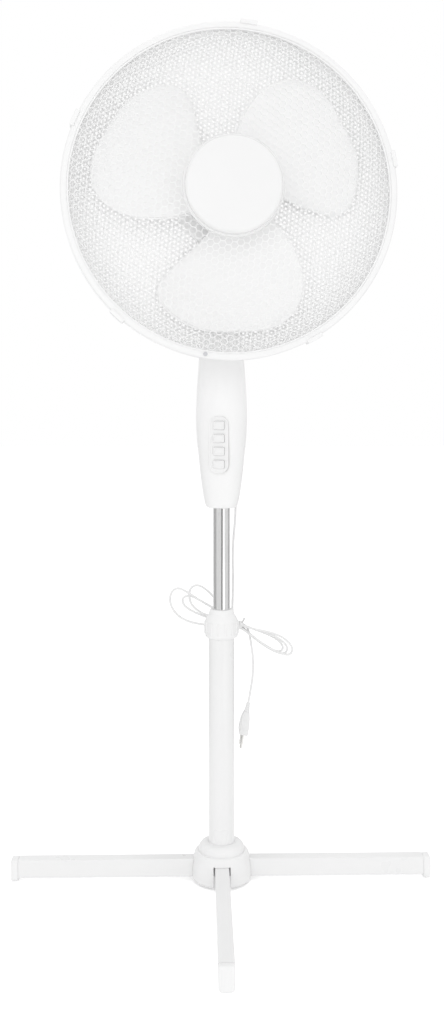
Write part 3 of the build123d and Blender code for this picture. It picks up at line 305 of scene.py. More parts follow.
# The same plastic for the front guard, left greyer than the rear guard's painted white: a softer white that
# hardly shows before the blades.
front_plastic = moulded_plastic("front_guard_polypropylene", "f5f5f5", "f2f2f2", 0.45, 1.2, 0.02, 0.0)
# Natural nylon of the inner guides and the gearbox: creamier and duller.
nylon = moulded_plastic("natural_moulded_nylon", "e9e8e2", "e2e1da", 0.55, 1.0, 0.02, 0.0)
# Soft PVC of the cord and its plug: rubbery, a little matt.
cord_pvc = moulded_plastic("extruded_white_pvc", "eeeeee", "ebebeb", 0.48, 1.4, 0.02, 0.0)
print("plastics: 8 finishes")


# %% [markdown]
# ## Enamel and metals
# The cross tubes and the pole are steel with white stove enamel, which flows a little before it sets and
# leaves a faint orange peel. The inner tube is chrome plate: almost a mirror, with fine polishing lines along
# it. Screws are zinc plated, the motor's bells are cast, and its core is stacked sheet.

# %% Enamel
FLOW_MM = 45              # the size of the drifts where the enamel flowed
PEEL_MM = 3               # the size of the orange peel
enamel, tree, shader = new_finish("white_stove_enamel")
flow = ((FLOW_MM, FLOW_MM, FLOW_MM), 2.0, 0.5)
peel = ((PEEL_MM, PEEL_MM, PEEL_MM), 1.0, 0.5)
dress(tree, shader, ("eeeeee", "f1f1f1"), (0.24, 0.34), flow, peel, 0.2, 0.05)
shader.inputs["IOR"].default_value = 1.5
print("enamel:", enamel.name)


# %% Metals
def metal(name, light, dark, rough, stretch_mm, relief_mm):
    """A bare or plated metal whose tone and shine vary in streaks of a given size along X, Y and Z."""
    material, tree, shader = new_finish(name)
    streaks = (stretch_mm, 4.0, 0.6)
    dress(tree, shader, (dark, light), (rough * 0.7, rough * 1.3), streaks, streaks, 0.3, relief_mm)
    shader.inputs["Metallic"].default_value = 1.0
    return material


# Chrome plate: a neutral mirror with fine polishing lines along the tube.
chrome = metal("polished_chrome_plate", "efefef", "e6e6e6", 0.07, (1.2, 1.2, 60), 0.002)
# Zinc plate on screws and nuts: duller, mottled by the crystals.
zinc = metal("zinc_plated_steel", "dfe0e2", "cccdd0", 0.32, (1.5, 1.5, 1.5), 0.01)
# Die-cast aluminium of the motor bells: pale grey with a cast skin.
cast_aluminium = metal("die_cast_aluminium", "c4c6c8", "a9abad", 0.45, (2, 2, 2), 0.03)
# Stacked steel sheet of the motor's core: half-millimetre layers along the shaft.
stacked_sheet = metal("stacked_motor_sheet", "8f9296", "56595d", 0.5, (20, 0.5, 20), 0.05)
# Enamelled copper winding wire: layers of fine round wire.
winding_copper = metal("enamelled_winding_copper", "c67a45", "7c4322", 0.35, (0.6, 6, 0.6), 0.1)
# Sintered bronze of the sleeve bearings: porous and matt.
sintered_bronze = metal("sintered_bronze", "b08a4e", "86663a", 0.5, (0.8, 0.8, 0.8), 0.02)
# Nickel plate on the plug's pins: a satin grey.
nickel = metal("nickel_plated_brass", "dddcda", "cfcecb", 0.22, (2, 2, 10), 0.003)
print("metals: 7 finishes")


# %% [markdown]
# ## Studio
# The photograph is a high-key catalogue picture: the fan is nearly as bright as the white behind it.
# The world is white to the camera and to reflections, and a little darker as a light, so that large soft
# lamps can still shape the forms. Cards in three greys, which only reflections can see, draw the bands in
# the chrome.

# %% World and lamps
WORLD_LIGHT = 0.82


def seen_directly(tree):
    """A value of 1 for rays from the camera, off a shiny surface or through glass, and of 0 for others."""
    path = add_node(tree, "ShaderNodeLightPath", {}, {}).outputs
    straight = {0: path["Is Camera Ray"], 1: path["Is Glossy Ray"]}
    plain = add_node(tree, "ShaderNodeMath", {"operation": "MAXIMUM"}, straight).outputs[0]
    any_way = {0: plain, 1: path["Is Transmission Ray"]}
    return add_node(tree, "ShaderNodeMath", {"operation": "MAXIMUM"}, any_way).outputs[0]


world = bpy.data.worlds.new("white_studio")
bpy.context.scene.world = world
world.use_nodes = True
sky = world.node_tree
reach = {"To Min": WORLD_LIGHT, "To Max": 1.0}
level = add_node(sky, "ShaderNodeMapRange", reach, {"Value": seen_directly(sky)})
sky.links.new(level.outputs["Result"], sky.nodes["Background"].inputs["Strength"])
sky.nodes["Background"].inputs["Color"].default_value = (1, 1, 1, 1)


def soft_box(name, place, target, size, watts):
    """A square soft lamp that points from one place at another."""
    deselect()
    aim = (Vector(target) - Vector(place)).to_track_quat("-Z", "Y").to_euler()
    bpy.ops.object.light_add(type="AREA", location=place, rotation=aim)
    lamp = bpy.context.object
    lamp.name = name
    lamp.data.size = size
    lamp.data.energy = watts
    lamp.visible_glossy = False


FAN_MIDDLE = (0, 0, 0.6)
WHITE_BOUNCES = 12        # light goes to and fro between white mesh, blades and rim many times
bpy.context.scene.cycles.max_bounces = WHITE_BOUNCES
bpy.context.scene.cycles.diffuse_bounces = WHITE_BOUNCES
soft_box("lamp_front_left", (-0.55, -2.6, 1.0), FAN_MIDDLE, 1.6, 9.3)
soft_box("lamp_front_right", (0.65, -2.6, 0.8), FAN_MIDDLE, 1.6, 6.0)
soft_box("lamp_top", (0.2, 0.4, 3.0), FAN_MIDDLE, 2.0, 12.2)


# %% Reflection cards
CARD_NEAR = 0.55          # from the pole's axis
CARD_AWAY = 1.2
CARD_LOW = 0.02
CARD_HIGH = 0.56
CARD_STEP = 4             # degrees between the edges of a curved card


def card_paper(name, code):
    """Plain paper of one colour."""
    material, _, shader = new_finish(name)
    shader.inputs["Base Color"].default_value = linear(code)
    return material


card_dark = card_paper("dark_card", "5a5a5a")
card_grey = card_paper("grey_card", "c0c0c0")
card_pale = card_paper("pale_card", "f0f0f0")


def reflection_card(name, start, end, finish):
    """A strip along the floor and up a round wall, between two angles, that shows only in reflections."""
    deselect()
    bpy.ops.mesh.primitive_plane_add(size=MM)
    card = bpy.context.object
    card.name = name
    bpy.ops.object.mode_set(mode="EDIT")
    bpy.ops.mesh.merge(type="CENTER")
    way = Vector((math.sin(math.radians(start)), -math.cos(math.radians(start)), 0))
    bpy.ops.transform.translate(value=way * CARD_NEAR + Vector((0, 0, CARD_LOW)))
    bpy.ops.mesh.extrude_vertices_move(TRANSFORM_OT_translate={"value": way * (CARD_AWAY - CARD_NEAR)})
    bpy.ops.mesh.extrude_vertices_move(TRANSFORM_OT_translate={"value": (0, 0, CARD_HIGH - CARD_LOW)})
    bpy.ops.mesh.select_all(action="SELECT")
    steps = max(1, round((end - start) / CARD_STEP))
    bpy.ops.mesh.spin(steps=steps, angle=math.radians(start - end), center=(0, 0, 0), axis=(0, 0, 1))
    bpy.ops.object.mode_set(mode="OBJECT")
    card.data.materials.append(finish)
    card.visible_camera = False
    card.visible_diffuse = False
    card.visible_transmission = False
    card.visible_shadow = False
    print(name + ":", start, "to", end, "degrees")


reflection_card("card_left", -148, -76, card_grey)
reflection_card("card_front_left", -76, -2, card_pale)
reflection_card("card_middle", -2, 14, card_dark)
reflection_card("card_front_right", 46, 100, card_pale)
reflection_card("card_right", 100, 156, card_grey)
reflection_card("card_back", 172, 188, card_dark)

# %% Floor
FLOOR_SIZE = 30.0
FLOOR_GLOW = 0.4          # light of its own, to the eye only, so that the open floor is white
deselect()
bpy.ops.mesh.primitive_plane_add(size=FLOOR_SIZE)
floor = bpy.context.object
floor.name = "studio_floor"
floor_white, tree, shader = new_finish("white_paper_floor")
shader.inputs["Base Color"].default_value = linear("f7f7f7")
shader.inputs["Roughness"].default_value = 0.9
shader.inputs["Specular IOR Level"].default_value = 0.1
shader.inputs["Emission Color"].default_value = (1, 1, 1, 1)
glow = add_node(tree, "ShaderNodeMath", {"operation": "MULTIPLY", 1: FLOOR_GLOW}, {0: seen_directly(tree)})
tree.links.new(glow.outputs[0], shader.inputs["Emission Strength"])
floor.data.materials.append(floor_white)
print("floor:", FLOOR_SIZE, "m across")


# %% [markdown]
# ## Tools for modelling
# Most skins of the fan are turned: a profile swept once round an axis. By hand that is a chain of extruded
# points and the Spin tool. The head and the neck casing are each turned a few degrees about the pole, so
# their pieces are modelled straight, and their frame is applied to the mesh at the end.

# %% Modelling helpers
HEAD_YAW = math.radians(4)
HEAD_HEIGHT = 878 * MM
CASE_YAW = math.radians(-8)
THIN_EDGE = 0.01          # millimetres: shorter edges are merged
HEAD_FRAME = Matrix((
    (math.cos(HEAD_YAW), 0, math.sin(HEAD_YAW), 0),
    (math.sin(HEAD_YAW), 0, -math.cos(HEAD_YAW), 0),
    (0, 1, 0, HEAD_HEIGHT),
    (0, 0, 0, 1),
))
CASE_FRAME = Matrix.Rotation(CASE_YAW, 4, "Z")
ROOM_FRAME = Matrix.Identity(4)
Z_TO_Y = Matrix.Rotation(-math.pi / 2, 4, "X")


def select(piece):
    """Leave edit mode with one piece selected and active."""
    deselect()
    piece.select_set(True)
    bpy.context.view_layer.objects.active = piece


def close_skin():
    """Merge the doubles of the mesh in edit mode, turn its faces outwards and leave edit mode."""
    bpy.ops.mesh.select_all(action="SELECT")
    bpy.ops.mesh.remove_doubles(threshold=THIN_EDGE * MM)
    bpy.ops.mesh.normals_make_consistent(inside=False)
    bpy.ops.object.mode_set(mode="OBJECT")


def turn(name, profile, steps=96):
    """Spin a chain of (radius, height) points, in millimetres, once round the Z axis."""
    deselect()
    bpy.ops.mesh.primitive_plane_add(size=MM)
    piece = bpy.context.object
    piece.name = name
    bpy.ops.object.mode_set(mode="EDIT")
    bpy.ops.mesh.select_mode(type="VERT")
    bpy.ops.mesh.select_all(action="SELECT")
    bpy.ops.mesh.merge(type="CENTER")
    bpy.ops.transform.translate(value=(profile[0][0] * MM, 0, profile[0][1] * MM))
    for (radius, height), (next_radius, next_height) in zip(profile, profile[1:]):
        step = ((next_radius - radius) * MM, 0, (next_height - height) * MM)
        bpy.ops.mesh.extrude_vertices_move(TRANSFORM_OT_translate={"value": step})
    bpy.ops.mesh.select_all(action="SELECT")
    bpy.ops.mesh.spin(steps=steps, angle=2 * math.pi, center=(0, 0, 0), axis=(0, 0, 1))
    close_skin()
    return piece


def block(name, size, middle):
    """A box with a size and a middle in millimetres."""
    deselect()
    bpy.ops.mesh.primitive_cube_add(size=MM, location=Vector(middle) * MM)
    piece = bpy.context.object
    piece.name = name
    piece.scale = size
    bpy.ops.object.transform_apply(location=True, rotation=True, scale=True)
    return piece


def bar(radius, low, high, x, z, sides=64):
    """A round bar along Y, for cutting."""
    deselect()
    bpy.ops.mesh.primitive_cylinder_add(
        vertices=sides,
        radius=radius * MM,
        depth=(high - low) * MM,
        location=(x * MM, (low + high) / 2 * MM, z * MM),
        rotation=(math.pi / 2, 0, 0),
    )
    return bpy.context.object


def apply_modifier(piece, kind, **settings):
    """Add a modifier with these settings and apply it to the mesh."""
    modifier = piece.modifiers.new(kind.lower(), kind)
    for name, value in settings.items():
        setattr(modifier, name, value)
    select(piece)
    bpy.ops.object.modifier_apply(modifier=modifier.name)


def cut(piece, cutter):
    """Take a cutter's shape out of a piece, and throw the cutter away."""
    apply_modifier(piece, "BOOLEAN", operation="DIFFERENCE", solver="EXACT", object=cutter)
    bpy.data.objects.remove(cutter)


def round_edges(piece, width_mm, segments=3, sharper_than=35):
    """Bevel every edge that turns by more than an angle in degrees, and drop faces of no area."""
    apply_modifier(
        piece, "BEVEL", width=width_mm * MM, segments=segments, limit_method="ANGLE",
        angle_limit=math.radians(sharper_than),
    )
    bpy.ops.object.mode_set(mode="EDIT")
    bpy.ops.mesh.select_all(action="SELECT")
    bpy.ops.mesh.dissolve_degenerate(threshold=THIN_EDGE * MM)
    bpy.ops.object.mode_set(mode="OBJECT")


def pick(piece, kind, test):
    """Enter edit mode with just those edges or faces selected that pass a test."""
    select(piece)
    bpy.ops.object.mode_set(mode="EDIT")
    bpy.ops.mesh.select_mode(type=kind)
    bpy.ops.mesh.select_all(action="DESELECT")
    bpy.ops.object.mode_set(mode="OBJECT")
    for part in piece.data.edges if kind == "EDGE" else piece.data.polygons:
        part.select = test(part)
    bpy.ops.object.mode_set(mode="EDIT")


def pick_faces(piece, test):
    """Enter edit mode with the faces selected whose middle, in millimetres, and normal pass a test."""
    pick(piece, "FACE", lambda face: test(face.center / MM, face.normal))


def sink(border, slope, depth, each=False):
    """Inset the selected faces by a border, and sink what is left by a depth along a slope's width."""
    bpy.ops.mesh.inset(thickness=border * MM, depth=0, use_individual=each)
    bpy.ops.mesh.inset(thickness=slope * MM, depth=-depth * MM, use_individual=each)


def bevel_edges(piece, width_mm, test, segments=10):
    """Bevel the edges whose two ends pass a test."""
    pick(piece, "EDGE", lambda edge: test(*(piece.data.vertices[index].co for index in edge.vertices)))
    bpy.ops.mesh.bevel(offset=width_mm * MM, segments=segments, affect="EDGES")
    bpy.ops.object.mode_set(mode="OBJECT")


def arc(start, middle, end, steps):
    """Points from start to end on the circle through three points of a plane."""
    (ax, ay), (bx, by), (cx, cy) = start, middle, end
    twice = 2 * (ax * (by - cy) + bx * (cy - ay) + cx * (ay - by))
    a, b, c = ax * ax + ay * ay, bx * bx + by * by, cx * cx + cy * cy
    ox = (a * (by - cy) + b * (cy - ay) + c * (ay - by)) / twice
    oy = (a * (cx - bx) + b * (ax - cx) + c * (bx - ax)) / twice
    radius = math.hypot(ax - ox, ay - oy)
    first = math.atan2(ay - oy, ax - ox)
    sweep = math.remainder(math.atan2(cy - oy, cx - ox) - first, 2 * math.pi)
    angles = [first + sweep * step / steps for step in range(steps + 1)]
    return [(ox + radius * math.cos(angle), oy + radius * math.sin(angle)) for angle in angles]


def join(pieces):
    """Join several meshes into the first."""
    deselect()
    for piece in pieces:
        piece.select_set(True)
    bpy.context.view_layer.objects.active = pieces[0]
    bpy.ops.object.join()
    return pieces[0]


def twin(piece, name, place):
    """A copy of a piece with its own mesh, moved by a matrix."""
    made = piece.copy()
    made.data = piece.data.copy()
    made.name = name
    bpy.context.scene.collection.objects.link(made)
    made.data.transform(place)
    return made


def copies(piece, count):
    """A piece and its copies, spread evenly round the Z axis."""
    angles = [2 * math.pi * number / count for number in range(1, count)]
    return [piece] + [twin(piece, piece.name, Matrix.Rotation(angle, 4, "Z")) for angle in angles]


def place_piece(piece, place, body, finish, nodes, smooth=35):
    """Apply a piece's frame to its mesh, smooth it, and give it its finish, its body and its solids."""
    select(piece)
    bpy.ops.object.transform_apply(location=True, rotation=True, scale=True)
    piece.data.transform(place)
    bpy.ops.object.shade_smooth_by_angle(angle=math.radians(smooth))
    piece.data.materials.clear()
    piece.data.materials.append(finish)
    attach(piece, body)
    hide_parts(*nodes)
    print(piece.name + ":", len(piece.data.polygons), "faces on", body)


print("head at", round(HEAD_HEIGHT, 3), "m, turned", round(math.degrees(HEAD_YAW)), "degrees")


# %% [markdown]
# ## The guards
# The two guards are dishes of fine honeycomb: about two thousand cells in front and more than four thousand
# behind. Modelling two cells and using two Array modifiers gives the whole sheet. The sheet is bent onto the
# dish in code: a point's distance from the middle becomes its distance along the dish's profile, so cells
# keep their size on the curve. Insetting every cell leaves a strut's half-width round it, the inner faces are
# deleted, and Solidify gives the struts their depth. A Wireframe modifier would be shorter, but its struts
# are as deep as they are wide.

# %% Honeycomb sheet
CELL_ROLL = 25.0          # degrees from the head's horizontal to a row of cells
FRONT_PITCH = 8.2         # between the middles of neighbouring cells, counted in the photograph
FRONT_STRUT = 0.8
FRONT_STRUT_DEPTH = 0.9
REAR_PITCH = 5.8
REAR_STRUT = 2.8          # small holes: in the photograph hardly any light shows through the back
REAR_STRUT_DEPTH = 1.0
SPARE_CELLS = 4           # columns past the dish, so that the sheet covers it when turned


def honeycomb(name, inner, profile, pitch, strut, depth):
    """A sheet of cells, bent onto a profile of (radius, ahead) points that runs out from an inner radius."""
    deselect()
    bpy.ops.mesh.primitive_circle_add(vertices=6, radius=pitch / math.sqrt(3) * MM, fill_type="NGON")
    piece = bpy.context.object
    piece.name = name
    row = pitch * math.sqrt(3) / 2 * MM
    bpy.ops.object.mode_set(mode="EDIT")
    bpy.ops.mesh.select_all(action="SELECT")
    bpy.ops.mesh.duplicate_move(TRANSFORM_OT_translate={"value": (pitch / 2 * MM, row, 0)})
    bpy.ops.object.mode_set(mode="OBJECT")
    lengths = [0.0]
    for (radius, ahead), (next_radius, next_ahead) in zip(profile, profile[1:]):
        lengths.append(lengths[-1] + math.hypot(next_radius - radius, next_ahead - ahead))
    outer = inner + lengths[-1]
    columns = int(2 * outer / pitch) + SPARE_CELLS
    pairs = int(outer * MM / row) + SPARE_CELLS - 1
    for count, step in ((columns, (pitch * MM, 0, 0)), (pairs, (0, 2 * row, 0))):
        apply_modifier(
            piece, "ARRAY", count=count, use_relative_offset=False, use_constant_offset=True,
            constant_offset_displace=step,
        )
    middle = Vector((-columns // 2 * pitch * MM, -pairs // 2 * 2 * row, 0))
    turned = Matrix.Rotation(math.radians(CELL_ROLL), 4, "Z")
    piece.data.transform(turned @ Matrix.Translation(middle))
    pick_faces(piece, lambda spot, normal: not inner < spot.length < outer)
    bpy.ops.mesh.delete(type="FACE")
    close_skin()
    for vertex in piece.data.vertices:
        x, y, _ = vertex.co / MM
        run = min(max(math.hypot(x, y) - inner, 0), lengths[-1])
        angle = math.atan2(y, x)
        index = max(i for i, length in enumerate(lengths[:-1]) if length <= run)
        share = (run - lengths[index]) / (lengths[index + 1] - lengths[index])
        radius = profile[index][0] + share * (profile[index + 1][0] - profile[index][0])
        ahead = profile[index][1] + share * (profile[index + 1][1] - profile[index][1])
        vertex.co = Vector((radius * math.cos(angle), radius * math.sin(angle), ahead)) * MM
    pick_faces(piece, lambda spot, normal: True)
    bpy.ops.mesh.inset(thickness=strut / 2 * MM, use_individual=True)
    bpy.ops.mesh.delete(type="FACE")
    close_skin()
    apply_modifier(piece, "SOLIDIFY", thickness=depth * MM, offset=0.0)
    return piece


print("cells:", FRONT_PITCH, "mm apart in front,", REAR_PITCH, "mm behind")


# %% One guard
def guard(side, sheet, rim, collar, finish):
    """One guard: its sheet of honeycomb, its rim and the collar in its middle."""
    made = join([sheet, turn(side + "_guard_rim", rim, 144), turn(side + "_guard_collar", collar)])
    made.name = side + "_guard_skin"
    place_piece(made, HEAD_FRAME, "head", finish, [side + "_guard"])


# %% Front guard
FRONT_FLAT = 59.9         # where the dish starts to curve, just outside the cap
front_profile = arc((FRONT_FLAT, 156.8), (136.8, 147.5), (194.8, 124), 40)
guard(
    "front",
    honeycomb("front_guard_mesh", FRONT_FLAT, front_profile, FRONT_PITCH, FRONT_STRUT, FRONT_STRUT_DEPTH),
    [(192.8, 124.6), (193.4, 122), (200, 122), (200, 124.1), (196.1, 124.1), (196.1, 126.2), (195, 126.8),
     (193.4, 126.6), (192.8, 124.6)],
    [(20, 155.6), (59.4, 155.6), (60.2, 156.4), (59.4, 157.9), (20, 157.9), (20, 155.6)],
    front_plastic,
)

# %% Rear guard
REAR_FLAT = 60.0
rear_profile = [(REAR_FLAT, 69.2), (140, 69.2)] + arc((140, 69.2), (180.5, 82.4), (194.8, 116), 24)[1:]
guard(
    "rear",
    honeycomb("rear_guard_mesh", REAR_FLAT, rear_profile, REAR_PITCH, REAR_STRUT, REAR_STRUT_DEPTH),
    [(192.2, 107), (193.4, 113), (193.4, 118), (200, 118), (200, 115.9), (196.1, 115.9), (196.1, 113.4),
     (194.8, 106.4), (192.2, 107)],
    [(19.2, 68.1), (64, 68.1), (64.8, 69.1), (64, 70.3), (19.2, 70.3), (19.2, 68.1)],
    rear_guard_painted_light,
)


# %% [markdown]
# ## Ring, clips and cap
# A plain ring holds the rims of the two guards together, and five snap clips close it.
# The cap in the middle is a shallow dome with a soft edge. It is left bare.

# %% Guard ring
RING_RADIUS = 203.0
RING_AHEAD = 120.0        # the guards' parting plane, ahead of the pole's axis
ring_section = [
    (195.6, 112.4), (201.4, 112.4), (RING_RADIUS, 114), (RING_RADIUS, 126), (201.4, 127.6), (195.6, 127.6),
    (195.2, 127), (196.2, 126.6), (196.2, 124.2), (200.3, 124.2), (200.3, 115.8), (196.2, 115.8),
    (195.2, 113), (195.6, 112.4),
]
guard_ring = turn("guard_ring_skin", ring_section, 192)
round_edges(guard_ring, 0.5, segments=2, sharper_than=40)
place_piece(guard_ring, HEAD_FRAME, "head", satin_abs, ["guard_ring"])

# %% Snap clips
CLIP_COUNT = 5
CLIP_START = 84.0         # degrees to the first clip
CLIP_WIDTH = 20.0
CLIP_LOW = 200.4
CLIP_HIGH = 205.6
CLIP_DEPTH = 20.4
THUMB_WIDE = 6.0          # half of the hollow for a thumb, round the ring
THUMB_LONG = 5.0          # half of it, front to back
THUMB_SLOPE = 0.8
THUMB_DEEP = 0.7
clip_size = (CLIP_HIGH - CLIP_LOW, CLIP_WIDTH, CLIP_DEPTH)
clip = block("rim_clip", clip_size, ((CLIP_LOW + CLIP_HIGH) / 2, 0, RING_AHEAD))
bpy.ops.object.mode_set(mode="EDIT")
bpy.ops.mesh.select_all(action="SELECT")
bpy.ops.mesh.subdivide(number_cuts=7)
bpy.ops.object.mode_set(mode="OBJECT")


def in_thumb_hollow(spot, normal):
    """The middle of the clip's outer face."""
    return normal.x > 0.9 and abs(spot.y) < THUMB_WIDE and abs(spot.z - RING_AHEAD) < THUMB_LONG


pick_faces(clip, in_thumb_hollow)
bpy.ops.mesh.inset(thickness=THUMB_SLOPE * MM, depth=-THUMB_DEEP * MM)
bpy.ops.object.mode_set(mode="OBJECT")
for vertex in clip.data.vertices:
    bow = vertex.co.y / (RING_RADIUS * MM)
    out = vertex.co.x
    vertex.co.x = out * math.cos(bow)
    vertex.co.y = out * math.sin(bow)
round_edges(clip, 0.9, segments=3, sharper_than=50)
clip.data.transform(Matrix.Rotation(math.radians(CLIP_START), 4, "Z"))
clips = join(copies(clip, CLIP_COUNT))
clips.name = "rim_clips_skin"
place_piece(clips, HEAD_FRAME, "head", satin_abs, ["rim_clips"])

# %% Centre cap
cap_edge = arc((57.5, 162.5), (56.3, 165.4), (53.4, 166.7), 6)
cap_dome = arc((53.4, 166.7), (27, 167.7), (0, 168), 10)
cap_profile = [(0, 158.1), (56.9, 158.1), (57.5, 158.8)] + cap_edge + cap_dome[1:]
centre_cap = turn("centre_cap_skin", cap_profile, 128)
place_piece(centre_cap, HEAD_FRAME, "head", gloss_abs, ["centre_cap"], smooth=30)

# %% [markdown]
# ## The blades
# Three broad, round-ended blades stand on a drum-shaped hub. One blade starts as a filled circle whose
# points are laid on the blade's outline. Rings of faces are then drawn inwards, so that the sheet can take
# the twist: each point moves ahead by its distance from the middle line times the pitch there. Solidify gives
# the wall.

# %% One blade
BLADE_RADIUS = 170.0
BLADE_MIDDLE = 37.0       # degrees, seen from the front, of the right-hand blade's middle line
BLADE_THICK = 2.4
BLADE_COUNT = 3
BLADE_RINGS = 9           # rings of faces between a blade's edge and its core
EDGE_SHRINK = 0.985       # the first ring lies close along the edge
CORE_SHARE = 0.6          # of the blade's radius, out to its core
ROTOR_AHEAD = 100.0
ROOT_PITCH = math.radians(20)
TIP_PITCH = math.radians(5)
HUB_RADIUS = 40.0
ROOT_SHARE = (HUB_RADIUS - 2) / BLADE_RADIUS
blade_outline = (
    (ROOT_SHARE, 91), (0.4, 86), (0.57, 80), (0.75, 73.5), (0.89, 65.5), (0.98, 55.5), (1.0, 43), (0.985, 22),
    (0.965, 10), (0.92, -1), (0.87, -6), (0.78, -8.6), (0.59, -7), (0.4, -1), (ROOT_SHARE, 5),
)


def smooth_chain(points, steps):
    """A smooth chain of points that passes through each given point."""
    padded = [points[0]] + list(points) + [points[-1]]
    chain = []
    for before, start, end, after in zip(padded, padded[1:], padded[2:], padded[3:]):
        for step in range(steps):
            t = step / steps
            weights = (-t / 2 + t * t - t**3 / 2, 1 - 2.5 * t * t + 1.5 * t**3,
                       t / 2 + 2 * t * t - 1.5 * t**3, -t * t / 2 + t**3 / 2)
            corners = (before, start, end, after)
            chain.append(tuple(sum(w * c[k] for w, c in zip(weights, corners)) for k in (0, 1)))
    return chain + [tuple(points[-1])]


def polar(share, degrees):
    """A point at a share of the blade's radius and an angle seen from the front."""
    angle = math.radians(degrees)
    return share * BLADE_RADIUS * math.cos(angle), share * BLADE_RADIUS * math.sin(angle)


def blade_ahead(x, y):
    """How far ahead the twisted blade lies at a point."""
    middle = math.radians(BLADE_MIDDLE)
    along = x * math.cos(middle) + y * math.sin(middle)
    aside = y * math.cos(middle) - x * math.sin(middle)
    share = min(max(along / BLADE_RADIUS, 0), 1)
    pitch = ROOT_PITCH + (TIP_PITCH - ROOT_PITCH) * share
    return ROTOR_AHEAD + aside * math.tan(pitch)


rim_points = smooth_chain([polar(share, degrees) for share, degrees in blade_outline], 6)
deselect()
bpy.ops.mesh.primitive_circle_add(vertices=len(rim_points), radius=BLADE_RADIUS * MM, fill_type="NGON")
blade = bpy.context.object
blade.name = "fan_blade"
for vertex, (x, y) in zip(blade.data.vertices, rim_points):
    vertex.co = (x * MM, y * MM, 0)
core_x, core_y = polar(CORE_SHARE, BLADE_MIDDLE)
bpy.ops.object.mode_set(mode="EDIT")
bpy.ops.mesh.select_all(action="SELECT")
for ring in range(BLADE_RINGS, 0, -1):
    shrink = (ring - 0.5) / (ring + 0.5) if ring < BLADE_RINGS else EDGE_SHRINK
    bpy.ops.mesh.extrude_region_move()
    bpy.ops.transform.resize(value=(shrink, shrink, 1), center_override=(core_x * MM, core_y * MM, 0))
bpy.ops.mesh.poke()
bpy.ops.object.mode_set(mode="OBJECT")
for vertex in blade.data.vertices:
    vertex.co.z = blade_ahead(vertex.co.x / MM, vertex.co.y / MM) * MM
bpy.ops.object.mode_set(mode="EDIT")
close_skin()
apply_modifier(blade, "SOLIDIFY", thickness=BLADE_THICK * MM, offset=0)
round_edges(blade, 0.9, segments=3, sharper_than=60)
print("blade:", len(blade.data.polygons), "faces")

# %% Hub and rotor
HUB_BACK = 86.0
HUB_FRONT = 114.0
HUB_BORE = 4.2
hub_profile = [
    (HUB_BORE, HUB_BACK), (10, HUB_BACK), (10, 108), (36.4, 108), (37.2, 106), (37.2, HUB_BACK),
    (39.4, HUB_BACK), (HUB_RADIUS, HUB_BACK + 0.6),
]
hub_profile += arc((HUB_RADIUS, 108), (38.2, 112.2), (34, HUB_FRONT), 6)
hub_profile += [(HUB_BORE, HUB_FRONT), (HUB_BORE, HUB_BACK)]
rotor = join([turn("rotor_hub", hub_profile)] + copies(blade, BLADE_COUNT))
rotor.name = "fan_blades_skin"
place_piece(rotor, HEAD_FRAME, "rotor", blade_resin_painted_light, ["fan_blades"], smooth=30)


# %% [markdown]
# ## The neck casing
# The casing is a slim body in two halves: oval, widest a little below its middle, and drawn in at both ends.
# A circle is extruded upwards through stations, each resized to its own oval, as one would do by hand. The
# body is then opened for the buttons and cut along the seam plane into a front and a rear half, whose soft
# edges draw the seam. Wells in the rear half let a driver reach its screws.

# %% Casing body
CASE_BOTTOM = 487.0
CASE_OVALS = (            # height above the bottom, width and depth
    (0, 40, 37), (12, 46.5, 42.5), (50, 57, 50), (117, 67, 57), (200, 58.6, 51), (245, 50, 46), (279, 44, 42),
)
CASE_SIDES = 72
CASE_LEVELS = 36
CASE_CROWDING = 1.15      # above 1 the levels lie closer together near the bottom


def oval_at(rise):
    """The casing's width and depth at a height above its bottom, on a smooth curve through its ovals."""
    rises = [oval[0] for oval in CASE_OVALS]
    index = max(i for i in range(len(rises) - 1) if rises[i] <= rise)
    low, high = CASE_OVALS[index], CASE_OVALS[index + 1]
    before = CASE_OVALS[max(index - 1, 0)]
    after = CASE_OVALS[min(index + 2, len(rises) - 1)]
    span = high[0] - low[0]
    t = (rise - low[0]) / span
    sizes = []
    for k in (1, 2):
        slope_low = (high[k] - before[k]) / (high[0] - before[0])
        slope_high = (after[k] - low[k]) / (after[0] - low[0])
        sizes.append(
            (1 + 2 * t) * (1 - t) ** 2 * low[k] + t * (1 - t) ** 2 * span * slope_low
            + t * t * (3 - 2 * t) * high[k] + t * t * (t - 1) * span * slope_high
        )
    return sizes


deselect()
bpy.ops.mesh.primitive_circle_add(
    vertices=CASE_SIDES, radius=MM / 2, fill_type="NGON", location=(0, 0, CASE_BOTTOM * MM)
)
casing = bpy.context.object
casing.name = "casing_body"
width, depth = oval_at(0)
casing.scale = (width, depth, 1)
bpy.ops.object.transform_apply(location=True, rotation=True, scale=True)
bpy.ops.object.mode_set(mode="EDIT")
bpy.ops.mesh.select_all(action="SELECT")
height = CASE_OVALS[-1][0]
rise = 0.0
for number in range(1, CASE_LEVELS + 1):
    next_rise = height * (number / CASE_LEVELS) ** CASE_CROWDING
    next_width, next_depth = oval_at(min(next_rise, height))
    bpy.ops.mesh.extrude_region_move(TRANSFORM_OT_translate={"value": (0, 0, (next_rise - rise) * MM)})
    grow = (next_width / width, next_depth / depth, 1)
    bpy.ops.transform.resize(value=grow, center_override=(0, 0, (CASE_BOTTOM + next_rise) * MM))
    rise, width, depth = next_rise, next_width, next_depth
close_skin()
round_edges(casing, 4.0, segments=5, sharper_than=50)
print("casing body:", [round(size * 1000, 1) for size in casing.dimensions], "mm")

